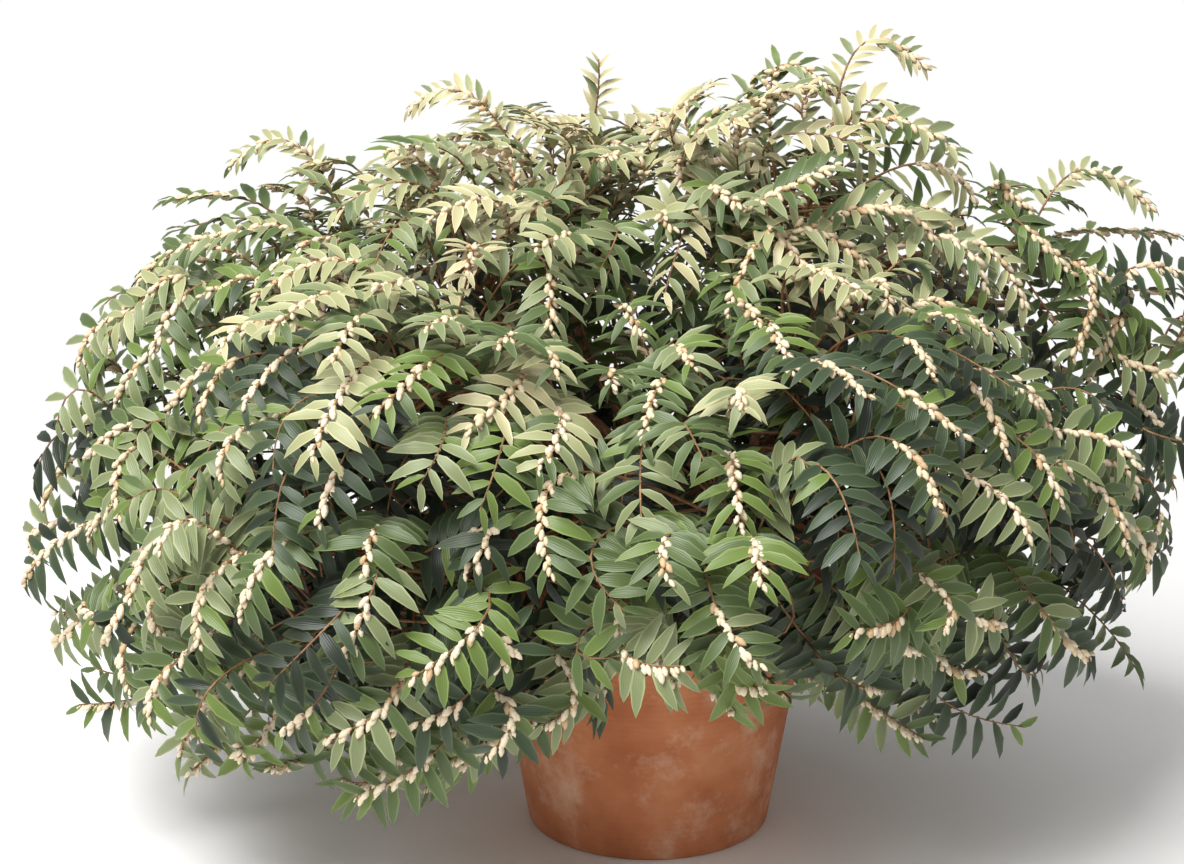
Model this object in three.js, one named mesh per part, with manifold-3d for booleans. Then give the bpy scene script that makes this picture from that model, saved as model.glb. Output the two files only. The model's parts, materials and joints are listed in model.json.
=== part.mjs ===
// A potted leucothoe: an arching, mound-shaped evergreen shrub in bloom, in a plain round clay pot.
// Units are millimetres, +Z is up and -Y is the front. The origin is the middle of the pot's underside.
import * as THREE from "three";
import { mergeVertices } from "three/addons/utils/BufferGeometryUtils.js";
import Module from "manifold-3d";

const wasm = await Module();
wasm.setup();

// Clearance kept wherever two pieces meet, so that they touch without sharing space.
const gap = 0.3;

const pot = {
  height: 320,
  footRadius: 136,
  rimRadius: 198,
  wall: 13,
  floor: 18,
  collarHeight: 50,
  collarStep: 8,
  chamfer: 4,
  drains: 3,
  drainRadius: 8,
  drainCircle: 80,
  sides: 28,
};
const soil = { belowRim: 26, flatRadius: 70, fall: 8 };
const soilTop = pot.height - soil.belowRim;

// The woody knuckle at soil level that every stem grows out of, with its root flare.
const stool = { height: 92, flareRadius: 56, waistRadius: 33, topRadius: 25, sides: 10 };

// Stems and boughs: radius where they start and where they end, and how many sides and steps they have.
const cane = { thick: 9, thin: 5.5, sides: 5, steps: 7 };
const leader = { thick: 7.5, thin: 5, sides: 5, steps: 5 };
const sideBough = { thick: 5, thin: 3.6, sides: 4, steps: 5 };

// Leafy twigs, three-sided, and what stands on them. The outer part of a flowering shoot swells into
// its chain of bells.
const twig = { thick: 5, thin: 3.4, sides: 3, steps: 3 };
const shoot = {
  thick: 3.6,
  thin: 3,
  bareStep: 85,
  frames: 40,
  apart: 142,
  hangs: [200, 160, 120, 80],
  slides: [0, 0.15, 0.3],
  flowering: 0.75,
};
const raceme = { reach: 150, radius: 8.5, waist: 5.5 };
const leaf = {
  length: 130,
  width: 46,
  thickness: 3,
  widestAt: 0.46,
  rootWidth: 9,
  firstPair: 22,
  pitch: 47,
  pairs: 4,
  scales: [1, 0.8, 0.6],
  apart: 0.7,
};
// The dense middle of the crown, as a share of its reach, and how unevenly each mass fills its part of it.
const core = { share: 0.7, inward: 0.3, uneven: 0.14, facets: 1, margin: 4 };

// The crown's middle lies to the left of the pot, where the plant has grown further out.
const crownMiddle = -45;
const crownHeart = new THREE.Vector3(crownMiddle, 0, 360);
const crownTop = new THREE.Vector3(crownMiddle, 0, 780);
const goldenTurn = Math.PI * (3 - Math.sqrt(5));

// Rings of foliage from the hanging skirt to the top. Angles run from the front towards +X.
// outX and outY are how far a mass lies from the crown's middle, wide and tall are its half sizes,
// inner and rise place its bough's tip, and droop is how steeply its leading twig bends down.
const tiers = [
  { name: "skirt", count: 7, apart: 360 / 7, firstTurn: 15, outX: 450, outY: 350, up: 320, wide: 205,
    tall: 160, inner: 0.72, rise: 0.62, droop: 1 },
  { name: "shoulder", count: 6, apart: 60, firstTurn: 30, outX: 395, outY: 275, up: 500, wide: 220,
    tall: 160, inner: 0.62, rise: 0.1, droop: 0.75 },
  { name: "top", count: 3, apart: 120, firstTurn: 75, outX: 190, outY: 120, up: 640, wide: 200,
    tall: 140, inner: 0.25, rise: -0.55, droop: 0.5 },
  { name: "arm", count: 2, apart: 12, firstTurn: 84, outX: 588, outY: 300, up: 485, wide: 88,
    tall: 165, inner: 0.6, rise: 0.78, droop: 1 },
];
// Where single masses differ from their ring: the plant is higher at the right and hangs lower at the left.
const uneven = {
  skirt_1: { out: -30, up: 95, wide: 25, tall: -35 },
  skirt_2: { out: -65, up: 50, tall: 30 },
  skirt_3: { up: 20 },
  skirt_6: { out: -20, up: 25 },
  skirt_7: { out: -45, up: 15, wide: 30, tall: 25 },
  shoulder_2: { out: -100, wide: -15 },
  shoulder_5: { out: -45, up: 30, tall: 15 },
  top_1: { out: 25, up: 60, wide: -25, tall: 5 },
  top_3: { wide: -30 },
  arm_1: { out: -130, up: 145, wide: 5, tall: -110 },
  arm_2: { tall: 15 },
};
// Single shoots past the crown's outside, upright or hanging: which way from its middle, how far, how high.
const sprigs = [
  { turn: 275, out: 12, high: 852 },
  { turn: 250, out: 235, high: 802 },
  { turn: 92, out: 312, high: 870 },
  { turn: 80, out: 225, high: 858 },
  { turn: 268, out: 410, high: 738 },
  { turn: 92, out: 590, high: 690 },
  { turn: 270, out: 620, high: 240, hangs: true },
  { turn: 281, out: 585, high: 172, hangs: true },
  { turn: 301, out: 500, high: 155, hangs: true },
  { turn: 83, out: 580, high: 200, hangs: true },
  { turn: 53, out: 400, high: 185, hangs: true },
  { turn: 84, out: 455, high: 690 },
];

const up = new THREE.Vector3(0, 0, 1);
const radians = THREE.MathUtils.degToRad;

// Random numbers from 0 to 1 that are the same on every run.
function seeded(seed) {
  let state = seed;
  return () => {
    state = (state + 0x6d2b79f5) | 0;
    let mixed = Math.imul(state ^ (state >>> 15), 1 | state);
    mixed = (mixed + Math.imul(mixed ^ (mixed >>> 7), 61 | mixed)) ^ mixed;
    return ((mixed ^ (mixed >>> 14)) >>> 0) / 4294967296;
  };
}

// A closed three.js geometry as a solid, and back.
function solidOf(geometry) {
  const bare = geometry.clone();
  bare.deleteAttribute("normal");
  bare.deleteAttribute("uv");
  const merged = mergeVertices(bare, 1e-4);
  return new wasm.Manifold(
    new wasm.Mesh({
      numProp: 3,
      vertProperties: new Float32Array(merged.attributes.position.array),
      triVerts: new Uint32Array(merged.index.array),
    }),
  );
}

function geometryOf(solid, origin) {
  const mesh = solid.getMesh();
  const geometry = new THREE.BufferGeometry()
    .setAttribute("position", new THREE.BufferAttribute(mesh.vertProperties, 3))
    .setIndex(new THREE.BufferAttribute(mesh.triVerts, 1));
  geometry.translate(-origin.x, -origin.y, -origin.z);
  geometry.computeVertexNormals();
  return geometry;
}

function turned(profile, sides) {
  const points = profile.map(([radius, height]) => new THREE.Vector2(radius, height));
  return new THREE.LatheGeometry(points, sides).rotateX(Math.PI / 2);
}

// A closed tube along a curve, its radius running from thick to thin.
function tube(curve, { thick, thin, sides, steps }) {
  const shape = new THREE.CylinderGeometry(thin, thick, 1, sides, steps);
  const frames = curve.computeFrenetFrames(steps);
  const place = shape.attributes.position;
  const point = new THREE.Vector3();
  for (let i = 0; i < place.count; i++) {
    const ring = Math.round((place.getY(i) + 0.5) * steps);
    curve.getPointAt(ring / steps, point);
    point.addScaledVector(frames.binormals[ring], place.getX(i));
    point.addScaledVector(frames.normals[ring], place.getZ(i));
    place.setXYZ(i, point.x, point.y, point.z);
  }
  return shape;
}

// A closed shape from points and triangles.
function closed(points, faces) {
  return new THREE.BufferGeometry()
    .setAttribute("position", new THREE.Float32BufferAttribute(points.flatMap((p) => p.toArray()), 3))
    .setIndex(faces.flat());
}

// Whether an edge of any triangle runs through another triangle.
function crossesItself(points, faces) {
  const ray = new THREE.Ray();
  const hit = new THREE.Vector3();
  const pierces = (face, other) =>
    face.some((corner, k) => {
      const start = points[corner];
      const end = points[face[(k + 1) % 3]];
      ray.set(start, end.clone().sub(start).normalize());
      const found = ray.intersectTriangle(...other.map((i) => points[i]), false, hit);
      return found && hit.distanceTo(start) < end.distanceTo(start);
    });
  return faces.some((face, i) =>
    faces
      .slice(i + 1)
      .filter((other) => !face.some((corner) => other.includes(corner)))
      .some((other) => pierces(face, other) || pierces(other, face)),
  );
}

// The places of the masses, worked out from their rings.
const masses = tiers.flatMap((tier) =>
  Array.from({ length: tier.count }, (_, i) => {
    const name = tier.count > 1 ? `${tier.name}_${i + 1}` : tier.name;
    const { turn = 0, out = 0, up: lift = 0, wide = 0, tall = 0 } = uneven[name] ?? {};
    const angle = radians(tier.firstTurn + tier.apart * i + turn);
    const outward = new THREE.Vector3(Math.sin(angle), -Math.cos(angle), 0);
    const centre = new THREE.Vector3(
      crownMiddle + (tier.outX + out) * outward.x,
      (tier.outY + out) * outward.y,
      tier.up + lift,
    );
    const size = new THREE.Vector3(tier.wide + wide, tier.wide + wide, tier.tall + tall);
    const entry = centre
      .clone()
      .addScaledVector(outward, -tier.inner * size.x)
      .addScaledVector(up, tier.rise * size.z);
    return { name, tier, outward, centre, size, entry, droop: tier.droop, index: i };
  }),
);

// A mass keeps to its own cell: the points that are nearer to it than to any other mass.
function inCell(mass, point, margin) {
  const own = point.distanceToSquared(mass.centre) - mass.size.x ** 2;
  return masses.every((other) => {
    if (other === mass) return true;
    const theirs = point.distanceToSquared(other.centre) - other.size.x ** 2;
    return theirs - own > 2 * margin * mass.centre.distanceTo(other.centre);
  });
}

// A bough's tip lies in the cell of the mass that it carries.
for (const mass of masses) {
  for (let i = 0; i < 30 && !inCell(mass, mass.entry, 12); i++) mass.entry.lerp(mass.centre, 0.08);
}

// A solid without what reaches out of the mass's cell.
function trimmedToCell(mass, solid) {
  return masses
    .filter((other) => other !== mass)
    .reduce((rest, other) => {
      const away = mass.centre.clone().sub(other.centre);
      const bulk = mass.centre.lengthSq() - other.centre.lengthSq() - mass.size.x ** 2 + other.size.x ** 2;
      const apart = away.length();
      return rest.trimByPlane(away.normalize().toArray(), bulk / (2 * apart) + gap);
    }, solid);
}

// How deep a point lies in a mass: under 1 inside its rounded outline, over 1 outside.
const depthIn = (mass, point) => point.clone().sub(mass.centre).divide(mass.size).length();

// A bough's curve: it leaves start along heading, and comes down into end.
function arched(start, heading, end, arrival) {
  const reach = start.distanceTo(end);
  return new THREE.CubicBezierCurve3(
    start,
    start.clone().addScaledVector(heading, reach * 0.42),
    end.clone().addScaledVector(arrival, -reach * 0.38),
    end,
  );
}

const limbs = new Map();
const heading = (outward, climb) =>
  outward.clone().multiplyScalar(Math.cos(radians(climb))).addScaledVector(up, Math.sin(radians(climb)));

// Canes run from the stool's flank to the skirt, and leaders from its top to the top masses.
function stemsFromStool() {
  const inStool = 12;
  masses.filter(({ tier }) => tier.name === "skirt").forEach((mass, i) => {
    const start = mass.outward.clone().multiplyScalar(stool.waistRadius - inStool);
    start.z = soilTop + stool.height * (i % 2 ? 0.62 : 0.42);
    const curve = arched(start, heading(mass.outward, 62), mass.entry, heading(mass.outward, -18));
    limbs.set(`cane_${i + 1}`, { curve, form: cane, mass });
  });
  masses.filter(({ tier }) => tier.name === "top").forEach((mass, i) => {
    const start = mass.outward.clone().multiplyScalar(stool.topRadius - leader.thick - 2);
    start.z = soilTop + stool.height - inStool;
    const curve = arched(start, heading(mass.outward, 80), mass.entry, heading(mass.outward, 62));
    limbs.set(`leader_${i + 1}`, { curve, form: leader, mass });
  });
}

const nearestCane = (mass) =>
  [...limbs.values()]
    .filter((limb) => limb.mass.tier.name === "skirt")
    .sort((a, b) => b.mass.outward.dot(mass.outward) - a.mass.outward.dot(mass.outward))[0];

// Each shoulder mass is carried by a bough from the cane beside it, and the arm by two long ones.
function boughsFromCanes() {
  const shoulders = masses.filter(({ tier }) => tier.name === "shoulder");
  const arms = masses.filter(({ tier }) => tier.name === "arm");
  shoulders.forEach((mass, i) => {
    const parent = nearestCane(mass);
    const start = parent.curve.getPointAt(0.46);
    const curve = arched(start, heading(mass.outward, 55), mass.entry, heading(mass.outward, 10));
    limbs.set(`bough_${i + 1}`, { curve, form: sideBough, mass, parent });
  });
  arms.forEach((mass, i) => {
    const parent = limbs.get(`cane_${2 + i}`);
    const start = parent.curve.getPointAt(0.24);
    const curve = arched(start, heading(mass.outward, 70), mass.entry, heading(mass.outward, -14 * i));
    limbs.set(`arm_bough_${i + 1}`, { curve, form: sideBough, mass, parent });
  });
}

stemsFromStool();
boughsFromCanes();

// Samples along every limb, for keeping leaves off the wood.
const wood = [...limbs.values()].flatMap(({ curve, form }) =>
  Array.from({ length: 41 }, (_, i) => ({
    point: curve.getPointAt(i / 40),
    radius: THREE.MathUtils.lerp(form.thick, form.thin, i / 40),
  })),
);

const offPot = (point, room) =>
  point.z > pot.height + room || Math.hypot(point.x, point.y) > pot.rimRadius + room;

// Whether a mass may have foliage at all these points: in its own cell, off the wood and off the pot.
function isFree(points, mass, room) {
  return points.every(
    (point) =>
      inCell(mass, point, room) &&
      offPot(point, room) &&
      wood.every((limb) => limb.point.distanceTo(point) > limb.radius + room),
  );
}

// The leading twig of a mass, from its bough's tip to the far side.
function leadingTwig(mass) {
  const bough = [...limbs.values()].find((limb) => limb.mass === mass);
  const arrival = bough.curve.getTangentAt(1);
  const start = mass.entry.clone().addScaledVector(arrival, gap);
  const end = mass.centre
    .clone()
    .addScaledVector(mass.outward, mass.size.x * 0.42)
    .addScaledVector(up, mass.size.z * (0.25 - 0.55 * mass.droop));
  return arched(start, arrival, end, heading(mass.outward, -70 * mass.droop));
}

// The crown's outside runs smoothly over all the masses. This is over 1 inside it.
const within = (point) =>
  masses.reduce((sum, mass) => sum + Math.exp(-3 * (depthIn(mass, point) ** 2 - 1)), 0);

// The farthest point of the crown from a place inside it, in a direction.
function outsideFrom(place, direction) {
  const at = (reach) => place.clone().addScaledVector(direction, reach);
  let far = 900;
  while (far > 0 && within(at(far)) < 1) far -= 20;
  for (let step = 10; step > 0.5; step /= 2) far += within(at(far + step)) > 1 ? step : 0;
  return at(far);
}

// Which way faces outward at a point of the crown's outside.
function outwardAt(point) {
  const nudge = 4;
  const slope = (axis) => {
    const offset = new THREE.Vector3().setComponent(axis, nudge);
    return within(point.clone().sub(offset)) - within(point.clone().add(offset));
  };
  return new THREE.Vector3(slope(0), slope(1), slope(2)).normalize();
}

// Even directions over a ball, from the top down.
function directions(count) {
  return Array.from({ length: count }, (_, k) => {
    const height = 1 - (2 * (k + 0.5)) / count;
    const flat = Math.sqrt(1 - height * height);
    const turn = k * goldenTurn;
    return new THREE.Vector3(flat * Math.cos(turn), flat * Math.sin(turn), height);
  });
}

// The tips of all shoots, spread evenly over the crown's outside, each in the cell of its mass.
function shootTips() {
  const places = directions(1400)
    .filter((direction) => direction.z > -0.62)
    .map((direction) => outsideFrom(crownHeart, direction))
    .map((tip) => ({ tip, mass: masses.find((mass) => inCell(mass, tip, 0)) }))
    .filter(({ tip, mass }) => mass && isFree([tip], mass, 12));
  const room = places.map(() => Infinity);
  const chosen = sprigs.map(({ turn, out, high, hangs }) => {
    const angle = radians(turn);
    // The last leaves of an upright shoot stand above its tip.
    const top = high - (hangs ? 0 : leaf.length * 0.35);
    const tip = new THREE.Vector3(crownMiddle + out * Math.sin(angle), -out * Math.cos(angle), top);
    return { tip, mass: masses.find((mass) => inCell(mass, tip, 0)), upright: !hangs };
  });
  for (;;) {
    let best = 0;
    room.forEach((distance, i) => {
      if (distance > room[best]) best = i;
    });
    if (room[best] < shoot.apart) return chosen;
    chosen.push(places[best]);
    places.forEach(({ tip }, i) => {
      room[i] = Math.min(room[i], tip.distanceTo(places[best].tip));
    });
  }
}

// A shoot comes up out of the mass, lies over on its outside and hangs to its tip. It hangs over as far
// as the room allows, its tip slides inward where it has to, and none is made where there is no room.
// An upright one only nods.
function shootTo(mass, lead, { tip, upright }, random) {
  const flowers = !upright && random() < shoot.flowering;
  const first = random();
  for (const slide of shoot.slides) {
    const aim = tip.clone().lerp(mass.centre, slide).sub(crownHeart).normalize();
    const end = slide ? outsideFrom(crownHeart, aim) : tip;
    const outside = upright ? new THREE.Vector3(0, -1, 0.3).normalize() : outwardAt(end);
    const uphill = crownTop.clone().sub(end);
    uphill.addScaledVector(outside, -uphill.dot(outside)).normalize();
    for (const [hang, turn] of shoot.hangs.flatMap((hang) => [0, 0.35, 0.7].map((turn) => [hang, turn]))) {
      const start = lead.getPointAt(0.1 + 0.7 * ((first + turn) % 1));
      const back = end.clone().addScaledVector(uphill, hang);
      const bend = outsideFrom(crownHeart, back.sub(crownHeart).normalize());
      const nod = start.clone().lerp(end, 0.8).addScaledVector(up, hang * 0.2);
      const curve = new THREE.CubicBezierCurve3(
        start,
        start.clone().lerp(bend, upright ? 0.4 : 0.9),
        upright ? nod : bend.clone().lerp(end, 0.4).addScaledVector(outside, 16),
        end,
      );
      const path = curve.getPoints(12);
      const bells = path.slice(8);
      if (isFree(path.slice(2), mass, shoot.thick + 1.5) && isFree(bells, mass, raceme.radius + 1)) {
        return { curve, outside, flowers };
      }
    }
  }
  return null;
}

// The four corners of a leaf beyond its root: the ridge on its top, its two edges and its tip.
function leafCorners(root, direction, forward, facing, scale) {
  const edgeward = forward.clone().addScaledVector(direction, -forward.dot(direction)).normalize();
  const normal = new THREE.Vector3().crossVectors(direction, edgeward);
  const middle = root.clone().addScaledVector(direction, leaf.length * leaf.widestAt * scale);
  const half = (leaf.width * scale) / 2;
  return {
    ridge: middle.clone().addScaledVector(normal, leaf.thickness * Math.sign(normal.dot(facing))),
    rear: middle.clone().addScaledVector(edgeward, -half),
    front: middle.clone().addScaledVector(edgeward, half),
    tip: root.clone().addScaledVector(direction, leaf.length * scale),
  };
}

// Points along the ribs of the leaves made so far, each with its half width there, for keeping leaves apart.
const ribs = [];
const ribOf = (root, { ridge, tip, rear, front }) =>
  [0.4, 0.7, 1, 1.35, 1.7, 2].map((t) => {
    const point = t < 1 ? root.clone().lerp(ridge, t) : ridge.clone().lerp(tip, t - 1);
    return { point, half: rear.distanceTo(front) * 0.5 * Math.min(t, 2.2 - t) };
  });

// A leaf at root, as large as the room allows and clear of the one behind it and of other shoots' leaves,
// or none.
function fittedLeaf(mass, root, direction, forward, facing, behind, largest) {
  for (const scale of leaf.scales.filter((each) => each <= largest)) {
    const corners = leafCorners(root, direction, forward, facing, scale);
    const clear =
      !behind ||
      (corners.rear.clone().sub(behind.front).dot(forward) > 1 &&
        corners.tip.clone().sub(behind.tip).dot(forward) > 1);
    const rib = ribOf(root, corners);
    const crosses = rib.some(({ point, half }) =>
      ribs.some((other) => other.point.distanceTo(point) < leaf.apart * (half + other.half)),
    );
    const outline = [root, corners.rear, corners.tip, corners.front];
    const edges = outline.map((corner, i) => corner.clone().lerp(outline[(i + 1) % 4], 0.5));
    const blade = [...Object.values(corners), ...edges, ...rib.map(({ point }) => point)];
    if (clear && !crosses && isFree(blade, mass, 2.5)) return { ...corners, rib };
  }
  return null;
}

// A leafy shoot in one closed mesh: a three-sided stem with its ridge outward, whose flanks are drawn out
// into leaves in pairs. It ends in a leaf, or in its chain of bells.
function leafyShoot({ curve, outside, flowers }, mass, largest) {
  const length = curve.getLength();
  const points = [];
  const faces = [];
  // Which way is sideways, carried along from the tip without a twist.
  const sides = [new THREE.Vector3().crossVectors(curve.getTangentAt(1), outside)];
  for (let i = 0; i <= shoot.frames; i++) {
    const forward = curve.getTangentAt(1 - i / shoot.frames);
    sides.unshift(sides[0].clone().addScaledVector(forward, -sides[0].dot(forward)).normalize());
  }
  const drawnOut = (base, targets, tip) => {
    const next = targets.map((target) => points.push(target) - 1);
    const last = points.push(tip) - 1;
    base.forEach((corner, k) => {
      const after = (k + 1) % 3;
      faces.push([corner, base[after], next[after]], [corner, next[after], next[k]]);
      faces.push([next[k], next[after], last]);
    });
  };
  const ring = (back, radius) => {
    const t = 1 - back / length;
    const middle = curve.getPointAt(t);
    const forward = curve.getTangentAt(t);
    const side = sides[Math.round(t * shoot.frames)].clone();
    side.addScaledVector(forward, -side.dot(forward)).normalize();
    const facing = new THREE.Vector3().crossVectors(side, forward);
    const corners = [[0, 1], [0.87, -0.5], [-0.87, -0.5]].map(([across, high]) => {
      const corner = middle.clone().addScaledVector(side, across * radius);
      return points.push(corner.addScaledVector(facing, high * radius)) - 1;
    });
    return { middle, forward, side, facing, corners };
  };
  const skin = (rear, front, kept = []) => {
    for (let i = 0; i < 3; i++) {
      const j = (i + 1) % 3;
      const [a, b] = [rear.corners, front.corners];
      if (!kept.includes(2 * i)) faces.push([a[i], a[j], b[j]]);
      if (!kept.includes(2 * i + 1)) faces.push([a[i], b[j], b[i]]);
    }
  };
  const stemRadius = (back) => THREE.MathUtils.lerp(shoot.thin, shoot.thick, back / length);

  const pairs = Math.floor(
    Math.min(leaf.pairs, (length * 0.85 - leaf.firstPair - leaf.rootWidth) / leaf.pitch + 1),
  );
  const leafy = leaf.firstPair + leaf.pitch * (pairs - 1) + leaf.rootWidth;
  const bareRings = Math.ceil((length - leafy) / shoot.bareStep);
  let rear = ring(length, stemRadius(length));
  faces.push([rear.corners[0], rear.corners[2], rear.corners[1]]);
  for (let i = 1; i < bareRings; i++) {
    const back = length - ((length - leafy) * i) / bareRings;
    const front = ring(back, stemRadius(back));
    skin(rear, front);
    rear = front;
  }
  const behind = {};
  const grown = [];
  for (let pair = pairs - 1; pair >= 0; pair--) {
    const back = leaf.firstPair + leaf.pitch * pair;
    const inBloom = flowers && back < raceme.reach;
    const low = ring(back + leaf.rootWidth, inBloom ? raceme.radius : stemRadius(back));
    skin(rear, low);
    const high = ring(back, inBloom ? raceme.waist : stemRadius(back));
    const kept = [];
    const lean = radians(34 - 3 * pair);
    for (const hand of [1, -1]) {
      const direction = low.side
        .clone()
        .multiplyScalar(hand * Math.cos(lean))
        .addScaledVector(low.forward, Math.sin(lean))
        .addScaledVector(low.facing, -0.12)
        .normalize();
      const root = low.middle.clone().lerp(high.middle, 0.5);
      const found = fittedLeaf(mass, root, direction, low.forward, low.facing, behind[hand], largest);
      behind[hand] = found;
      if (!found) continue;
      const [a, b] = [low.corners, high.corners];
      const base = hand > 0 ? [a[0], a[1], b[1]] : [b[0], b[2], a[2]];
      const edges = hand > 0 ? [found.rear, found.front] : [found.front, found.rear];
      const before = [points.length, faces.length];
      drawnOut(base, [found.ridge, ...edges], found.tip);
      if (crossesItself(points, faces.slice(before[1]))) {
        [points.length, faces.length] = before;
        behind[hand] = null;
        continue;
      }
      grown.push(...found.rib);
      kept.push(hand > 0 ? 0 : 5);
    }
    skin(low, high, kept);
    rear = high;
  }
  const end = curve.getPointAt(1);
  const [top, right, left] = rear.corners;
  const last = !flowers && leafCorners(end, rear.forward, rear.side, rear.facing, 0.5);
  if (last && isFree([last.rear, last.front, last.tip], mass, 1.8)) {
    drawnOut([top, right, left], [last.ridge, last.front, last.rear], last.tip);
  } else {
    const tip = points.push(end) - 1;
    faces.push([top, right, tip], [right, left, tip], [left, top, tip]);
  }
  if (crossesItself(points, faces)) return null;
  ribs.push(...grown);
  return closed(points, faces);
}

// A mass's part of the dense middle: a lump that stays in its cell, short of the pot and inside the leaves.
function coreOf(mass, random) {
  const middle = mass.centre.clone().lerp(crownHeart, core.inward);
  const fits = (point) =>
    inCell(mass, point, core.margin) &&
    offPot(point, 5 * core.margin) &&
    within(point.clone().sub(crownHeart).divideScalar(core.share).add(crownHeart)) > 1;
  if (!fits(middle)) return [];
  const ball = new THREE.IcosahedronGeometry(1, core.facets);
  ball.deleteAttribute("normal");
  ball.deleteAttribute("uv");
  const shape = mergeVertices(ball, 1e-4);
  const place = shape.attributes.position;
  for (let i = 0; i < place.count; i++) {
    const far = new THREE.Vector3().fromBufferAttribute(place, i).multiplyScalar(mass.size.x * 1.3).add(middle);
    let reach = 1;
    while (reach > 0.015 && !fits(middle.clone().lerp(far, reach))) reach *= 0.95;
    const point = middle.clone().lerp(far, reach * (1 - core.uneven * random()));
    place.setXYZ(i, point.x, point.y, point.z);
  }
  return [solidOf(shape)];
}

// The room of the limbs and of the whole pot, which no foliage enters.
const keptClear = wasm.Manifold.union([
  solidOf(
    new THREE.CylinderGeometry(pot.rimRadius + 1, pot.rimRadius + 1, pot.height + 1, pot.sides)
      .rotateX(Math.PI / 2)
      .translate(0, 0, pot.height / 2),
  ),
  ...[...limbs.values()].map(({ curve, form }) =>
    solidOf(tube(curve, { ...form, thick: form.thick + 1, thin: form.thin + 1 })),
  ),
]);
const tips = shootTips();

function foliage(mass, seed) {
  const random = seeded(seed);
  const lead = leadingTwig(mass);
  const parts = [solidOf(tube(lead, twig)), ...coreOf(mass, random)];
  for (const place of tips.filter((each) => each.mass === mass)) {
    const sprig = shootTo(mass, lead, place, random);
    if (!sprig) continue;
    const sizes = leaf.scales.filter((scale) => scale < 1 || !place.upright).values();
    const shape = sizes.map((largest) => leafyShoot(sprig, mass, largest)).find((each) => each);
    if (shape) parts.push(solidOf(shape));
  }
  const pieces = trimmedToCell(mass, wasm.Manifold.union(parts).subtract(keptClear)).decompose();
  return pieces.sort((a, b) => b.volume() - a.volume())[0];
}

const colours = {
  clay: new THREE.MeshStandardMaterial({ color: 0xb5714d, roughness: 0.85 }),
  soil: new THREE.MeshStandardMaterial({ color: 0x3a2c22, roughness: 1 }),
  bark: new THREE.MeshStandardMaterial({ color: 0x7a5236, roughness: 0.8 }),
  foliage: new THREE.MeshStandardMaterial({ color: 0x7f9168, roughness: 0.55 }),
};

function named(name, solid, material, origin = new THREE.Vector3()) {
  const mesh = new THREE.Mesh(geometryOf(solid, origin), material);
  mesh.name = name;
  mesh.position.copy(origin);
  return mesh;
}

function potSolid() {
  const bandFoot = pot.height - pot.collarHeight;
  const slope = (pot.rimRadius - pot.collarStep - pot.footRadius) / pot.height;
  const outer = (height) => pot.footRadius + slope * height;
  const inner = (height) => outer(height) - pot.wall;
  const { rimRadius, chamfer, height } = pot;
  const wall = solidOf(
    turned(
      [
        [0, 0],
        [pot.footRadius - chamfer, 0],
        [outer(chamfer), chamfer],
        [outer(bandFoot), bandFoot],
        [rimRadius - 2, bandFoot + 2],
        [rimRadius, height - chamfer],
        [rimRadius - chamfer, height],
        [inner(height) + chamfer, height],
        [inner(height), height - chamfer],
        [inner(pot.floor), pot.floor],
        [0, pot.floor],
      ],
      pot.sides,
    ),
  );
  const drains = Array.from({ length: pot.drains }, (_, i) => {
    const turn = (2 * Math.PI * (i + 0.5)) / pot.drains;
    return solidOf(
      new THREE.CylinderGeometry(pot.drainRadius, pot.drainRadius, pot.floor * 3, 10)
        .rotateX(Math.PI / 2)
        .translate(pot.drainCircle * Math.cos(turn), pot.drainCircle * Math.sin(turn), 0),
    );
  });
  return wall.subtract(wasm.Manifold.union(drains));
}

function soilSolid() {
  const slope = (pot.rimRadius - pot.collarStep - pot.footRadius) / pot.height;
  const inner = (height) => pot.footRadius + slope * height - pot.wall - gap;
  const edge = soilTop - soil.fall;
  return solidOf(
    turned(
      [
        [0, pot.floor + gap],
        [inner(pot.floor), pot.floor + gap],
        [inner(edge), edge],
        [soil.flatRadius, soilTop],
        [0, soilTop],
      ],
      pot.sides,
    ),
  );
}

// The stool, grown by a clearance where it is used to cut the stems that stand on it.
function stoolSolid(grow = 0) {
  const { height, flareRadius, waistRadius, topRadius } = stool;
  return solidOf(
    turned(
      [
        [0, gap],
        [flareRadius + grow, gap],
        [flareRadius * 0.8 + grow, height * 0.12],
        [waistRadius * 1.12 + grow, height * 0.3],
        [waistRadius + grow, height * 0.6],
        [topRadius * 1.14 + grow, height * 0.85 + grow],
        [topRadius * 0.85 + grow, height + grow],
        [0, height + grow],
      ],
      stool.sides,
    ).translate(0, 0, soilTop),
  );
}

// A limb, cut 0.3 mm clear of what it grows out of.
function limbSolid({ curve, form, parent }) {
  const whole = solidOf(tube(curve, form));
  const grown = parent && { ...parent.form, thick: parent.form.thick + gap, thin: parent.form.thin + gap };
  const carrier = parent ? solidOf(tube(parent.curve, grown)) : stoolSolid(gap);
  const pieces = whole.subtract(carrier).decompose();
  return pieces.sort((a, b) => b.volume() - a.volume())[0];
}

const planter = new THREE.Group();
planter.add(named("pot", potSolid(), colours.clay), named("soil", soilSolid(), colours.soil));

const woodwork = new THREE.Group();
woodwork.add(named("stool", stoolSolid(), colours.bark));
for (const [name, limb] of limbs) woodwork.add(named(name, limbSolid(limb), colours.bark));

const crown = new THREE.Group();
masses.forEach((mass, i) =>
  crown.add(named(mass.name, foliage(mass, 101 + i), colours.foliage, mass.centre)),
);

const shrub = new THREE.Group();
shrub.add(planter, woodwork, crown);

export default shrub;
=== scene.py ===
import json
import math
import bpy
import bmesh
import numpy as np
from mathutils import Matrix, Vector

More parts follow.
